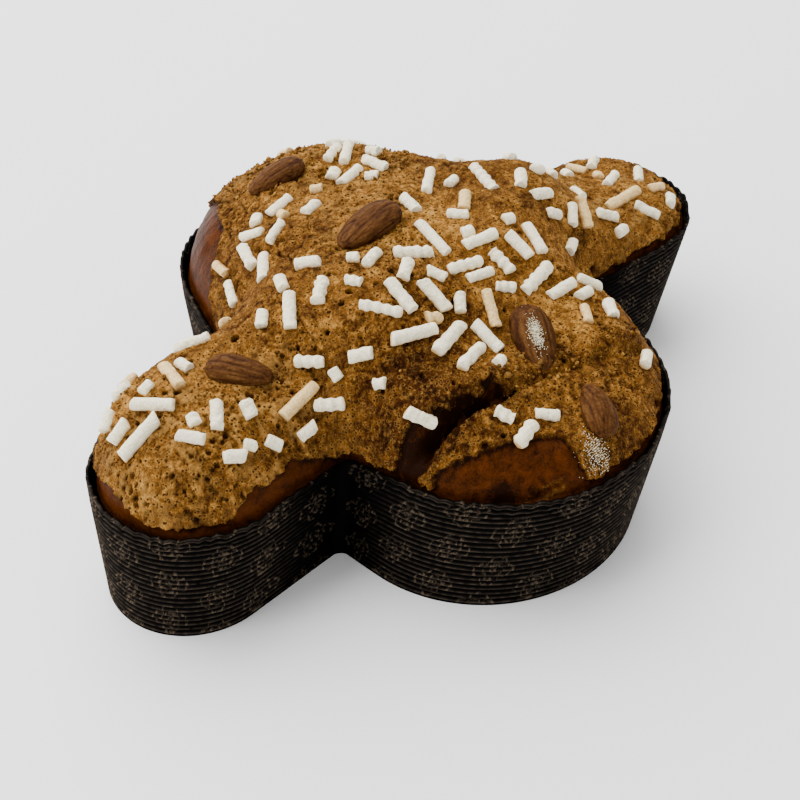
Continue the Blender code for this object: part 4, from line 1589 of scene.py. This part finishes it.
@dataclass
class PaperCase:
    """The flared baking case: a thin ribbed wall with an uneven rim, over a flat floor."""

    plan: CasePlan
    ribs: int = 21
    rib_steps: int = 4
    rib_depth: float = 0.85
    steps: tuple[int, int, int] = (200, 12, 24)
    sheet: float = 0.45
    rim_dip: float = 1.2
    rim_wave: float = 0.45
    rim_crinkle: float = 0.3
    rim_share: float = 0.84
    rim_lean: float = 0.45
    rib_sharpness: float = 3.0
    foot_fade: float = 1.5
    notch_shade: float = 0.9
    notch_reach: float = 17.0
    noise_radius: float = 40.0
    scallop_mm: float = 5.2
    scallop_depth: float = 0.9
    inner_rows: int = 5
    floor: float = 1.2

    def build(self, material: bpy.types.Material) -> bpy.types.Object:
        """Make the case as one closed shell.

        Outside, rows go up the wall, and each moves inwards by the rib depth times one minus a
        raised cosine of its height, to a power. The rim dips by noise and by a row of scallops, and
        waves in and out. Inside, rows go back down to the floor. The ribs' ridges carry a painted
        highlight, in full on the rim's top row, which fades into the notches as painted shade, by a
        bell curve of the distance to the nearest.

        Args:
            material: the printed paper.

        Returns:
            The piece.
        """
        rim = self.plan.belt(1.0, 0.0, self.steps)
        run = np.hypot(*np.diff(np.vstack([rim, rim[:1]]), axis=0).T)
        length = np.concatenate([[0.0], np.cumsum(run)])[:-1]
        turn = 2.0 * np.pi * length / run.sum()
        ring = self.noise_radius * np.stack([np.cos(turn), np.sin(turn), 0.0 * turn], -1)
        scallop = np.abs(np.sin(np.pi * (length + 1.2 * value_noise(ring, 2.0, 11)) / self.scallop_mm))
        dip = self.rim_dip * (0.5 + 0.5 * layered_noise(ring, 3.2, 2, 7))
        dip = dip + self.scallop_depth * (1.0 - scallop)
        wave = self.rim_wave * value_noise(ring, 3.6, 17) + self.rim_crinkle * value_noise(ring, 1.2, 19)
        folds = np.array([notch.rim for notch in self.plan.notches])
        nearest = np.linalg.norm(rim[:, None] - folds[None], axis=-1).min(1)
        # Painted shade in the notches: the ridges' painted highlight fades there.
        painted_ridge_light = 1.0 - self.notch_shade * np.exp(-((nearest / self.notch_reach) ** 2))
        shares_up = np.linspace(0.0, 1.0, self.ribs * self.rib_steps + 1)
        raised = (0.5 - 0.5 * np.cos(2.0 * np.pi * self.ribs * shares_up)) ** self.rib_sharpness
        # The rim's top row stands fully out and takes the full painted highlight.
        raised[-1] = 1.0
        points, ridges, shares = [], [], []
        for height, rib in zip(self.plan.height * shares_up, raised):
            inset = self.rib_depth * (1.0 - rib) * min(1.0, height / self.foot_fade)
            points.append(self.ring(height, inset, dip, wave))
            ridges.append(rib * painted_ridge_light)
            shares.append(height)
        for height in np.linspace(self.plan.height, self.floor, self.inner_rows):
            points.append(self.ring(height, self.rib_depth + self.sheet, dip, wave))
            ridges.append(np.zeros(len(rim)))
            shares.append(height)
        around = len(rim)
        body = np.concatenate([[[0.0, 0.0, 0.0]], np.concatenate(points), [[0.0, 0.0, self.floor]]])
        uv = np.column_stack([np.tile(length, len(points)), np.repeat(shares, around)])
        uv = np.concatenate([[[0.0, 0.0]], uv, [[0.0, 0.0]]])
        ridge = np.concatenate([[0.0], np.concatenate(ridges), [0.0]])
        faces = closed_faces(len(points), around)
        piece = make_mesh("ribbed_paper_case", body, faces, material, {"ridge": ridge}, uv)
        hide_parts("paper_case")
        return piece

    def ring(self, height: float, inset: float, dip: Grid, wave: Grid) -> Grid:
        """Return one row of the wall, with the rim's dips and waves fading in towards the top."""
        share = height / self.plan.height
        plan = self.plan.belt(share, inset, self.steps)
        inner = self.plan.belt(share, inset + 1.0, self.steps)
        top = smoothstep(self.rim_share, 1.0, np.array(share))
        flat = plan + (inner - plan) * (top * (self.rim_lean - wave))[:, None]
        return np.column_stack([flat, height - top * dip])


@dataclass
class SugarDust:
    """Loose sugar grains that cling to one almond and to the left wing."""

    shape: CrustShape
    almonds: AlmondSet
    crust: BakedCrust
    grains: int = 1000
    sizes: tuple[float, float] = (0.05, 0.12)
    seed: int = 23
    wing: Patch = Patch(-8.5, -102.4, 3.0, 1.0)
    dusted_almond: int = 4
    almond_middle: tuple[float, float] = (1.0, -0.3)
    almond_reach: tuple[float, float] = (3.2, 1.2)
    almond_gap: float = 0.1

    def build(self, material: bpy.types.Material) -> bpy.types.Object:
        """Make every grain as a small turned block, in two loose patches.

        A grain on the almond lies at the height of the skin there: half its thickness, times the
        root of what its long and its cross ellipse leave, times its taper.

        Args:
            material: the white sugar.

        Returns:
            The piece.
        """
        draw = np.random.default_rng(self.seed)
        block = np.array(list(np.ndindex(2, 2, 2)), float) * 2.0 - 1.0
        sides = np.array([[0, 1, 3, 2], [4, 6, 7, 5], [0, 4, 5, 1], [2, 3, 7, 6], [0, 2, 6, 4], [1, 5, 7, 3]])
        half = self.grains // 2
        almond = self.almonds.places[self.dusted_almond - 1]
        place = np.array(self.almonds.matrix(almond))
        flat = draw.normal(0.0, 1.0, (half, 2)) * self.almond_reach + self.almond_middle
        share = np.clip(flat[:, 0] / (0.5 * almond.length), -0.9, 0.9)
        width = 0.5 * almond.length * self.almonds.width_share * np.sqrt(1.0 - share**2)
        bulge = np.sqrt(np.clip((1.0 - share**2) * (1.0 - (flat[:, 1] / width) ** 2), 0.0, 1.0))
        height = 0.5 * self.almonds.thickness * bulge * (1.0 - self.almonds.taper * share)
        local = np.column_stack([flat, height + self.almond_gap])
        on_almond = local @ place[:3, :3].T + place[:3, 3]
        near = self.crust.patches(self.crust.points, (self.wing,))
        on_wing, upward = self.crust.scatter(draw, near**1.5, half)
        on_wing = on_wing + upward * draw.uniform(0.0, 0.25, (half, 1)) + draw.normal(0.0, 0.12, (half, 3))
        centres = np.concatenate([on_almond, on_wing])
        corners = tumble(draw, block[None] * draw.uniform(*self.sizes, (len(centres), 1, 3)), centres)
        faces = repeat_faces(sides, 8, len(centres))
        sunk = {"sunk": np.zeros(8 * len(centres))}
        piece = make_mesh("sugar_dust", corners.reshape(-1, 3), faces, material, sunk)
        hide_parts("cake")
        return piece


@dataclass
class Studio:
    """The floor, the light and the camera."""

    floor_size: float = 6.0
    room_strength: float = 0.95
    back_lamp: tuple[float, float, float] = (0.10, 1.25, 1.75)
    back_lamp_size: float = 3.0
    back_lamp_watts: float = 140.0
    left_lamp: tuple[float, float, float] = (-0.95, 0.25, 0.55)
    left_lamp_size: float = 0.5
    left_lamp_watts: float = 5.0
    camera_place: tuple[float, float, float] = (-0.2615, -0.3117, 0.3747)
    camera_aim: tuple[float, float, float] = (0.0027, 0.0099, 0.0)
    camera_roll: float = -3.0
    lens: float = 63.0

    def build(self) -> None:
        """Lay the floor, hang the lights and set the camera."""
        self.build_floor()
        self.build_light()
        self.build_camera()

    def build_floor(self) -> None:
        """Lay a plain white floor."""
        half = 0.5 * self.floor_size
        corners = [(-half, -half, 0), (half, -half, 0), (half, half, 0), (-half, half, 0)]
        mesh = bpy.data.meshes.new("floor")
        mesh.from_pydata(corners, [], [(0, 1, 2, 3)])
        mesh.materials.append(PlainFinish("white_floor", "#FDFDFD").build())
        floor = bpy.data.objects.new("floor", mesh)
        bpy.context.scene.collection.objects.link(floor)

    def build_light(self) -> None:
        """Light the cake from a bright room, with one soft lamp behind it and one at its left."""
        world = bpy.data.worlds.new("studio")
        bpy.context.scene.world = world
        world.use_nodes = True
        back = world.node_tree.nodes["Background"]
        back.inputs["Color"].default_value = srgb("#FFFFFF")
        back.inputs["Strength"].default_value = self.room_strength
        self.lamp("top_back_lamp", self.back_lamp, self.back_lamp_size, self.back_lamp_watts)
        self.lamp("left_lamp", self.left_lamp, self.left_lamp_size, self.left_lamp_watts)

    def lamp(self, name: str, place: tuple[float, float, float], size: float, power: float) -> None:
        """Hang one square lamp that faces the cake."""
        data = bpy.data.lights.new(name, "AREA")
        data.shape = "SQUARE"
        data.size = size
        data.energy = power
        lamp = bpy.data.objects.new(name, data)
        bpy.context.scene.collection.objects.link(lamp)
        lamp.location = place
        lamp.rotation_euler = (-Vector(place)).to_track_quat("-Z", "Y").to_euler()

    def build_camera(self) -> None:
        """Set the camera at the photographed angle, with its slight roll."""
        data = bpy.data.cameras.new("camera")
        data.lens = self.lens
        data.sensor_width = 36.0
        data.clip_start = 0.01
        camera = bpy.data.objects.new("camera", data)
        bpy.context.scene.collection.objects.link(camera)
        place = Vector(self.camera_place)
        ahead = (Vector(self.camera_aim) - place).normalized()
        right = ahead.cross(Vector((0.0, 0.0, 1.0))).normalized()
        up = right.cross(ahead)
        roll = math.radians(self.camera_roll)
        turned_right = right * math.cos(roll) + up * math.sin(roll)
        turned_up = up * math.cos(roll) - right * math.sin(roll)
        matrix = Matrix((turned_right, turned_up, -ahead)).transposed().to_4x4()
        matrix.translation = place
        camera.matrix_world = matrix
        bpy.context.scene.camera = camera


def main() -> None:
    """Build the cake from the inside out, then the case and the studio; each piece logs its triangles."""
    logging.basicConfig(level=logging.INFO, format="%(message)s")
    plan = CasePlan()
    shape = CrustShape(plan)
    baked = BakedSkinFinish().build()
    white = SugarFinish("pressed_white_sugar", "#FFF8DC", "#E9D6A8", "#C99C58", 0.16).build()
    syrup = SugarFinish("syrup_coated_sugar", "#E6C88C", "#CFA25C", "#9A6A2A", 0.35).build()
    crust = BakedCrust(shape)
    crust.build(baked)
    Loaf(shape).build(baked)
    CrustCrumbs(crust).build(baked)
    almonds = AlmondSet(shape)
    almonds.build(AlmondSkinFinish().build())
    SugarRods(shape, almonds).build({Coat.WHITE: white, Coat.SYRUP: syrup})
    SugarDust(shape, almonds, crust).build(white)
    PaperCase(plan).build(CasePaperFinish().build())
    Studio().build()


if __name__ == "__main__":
    main()
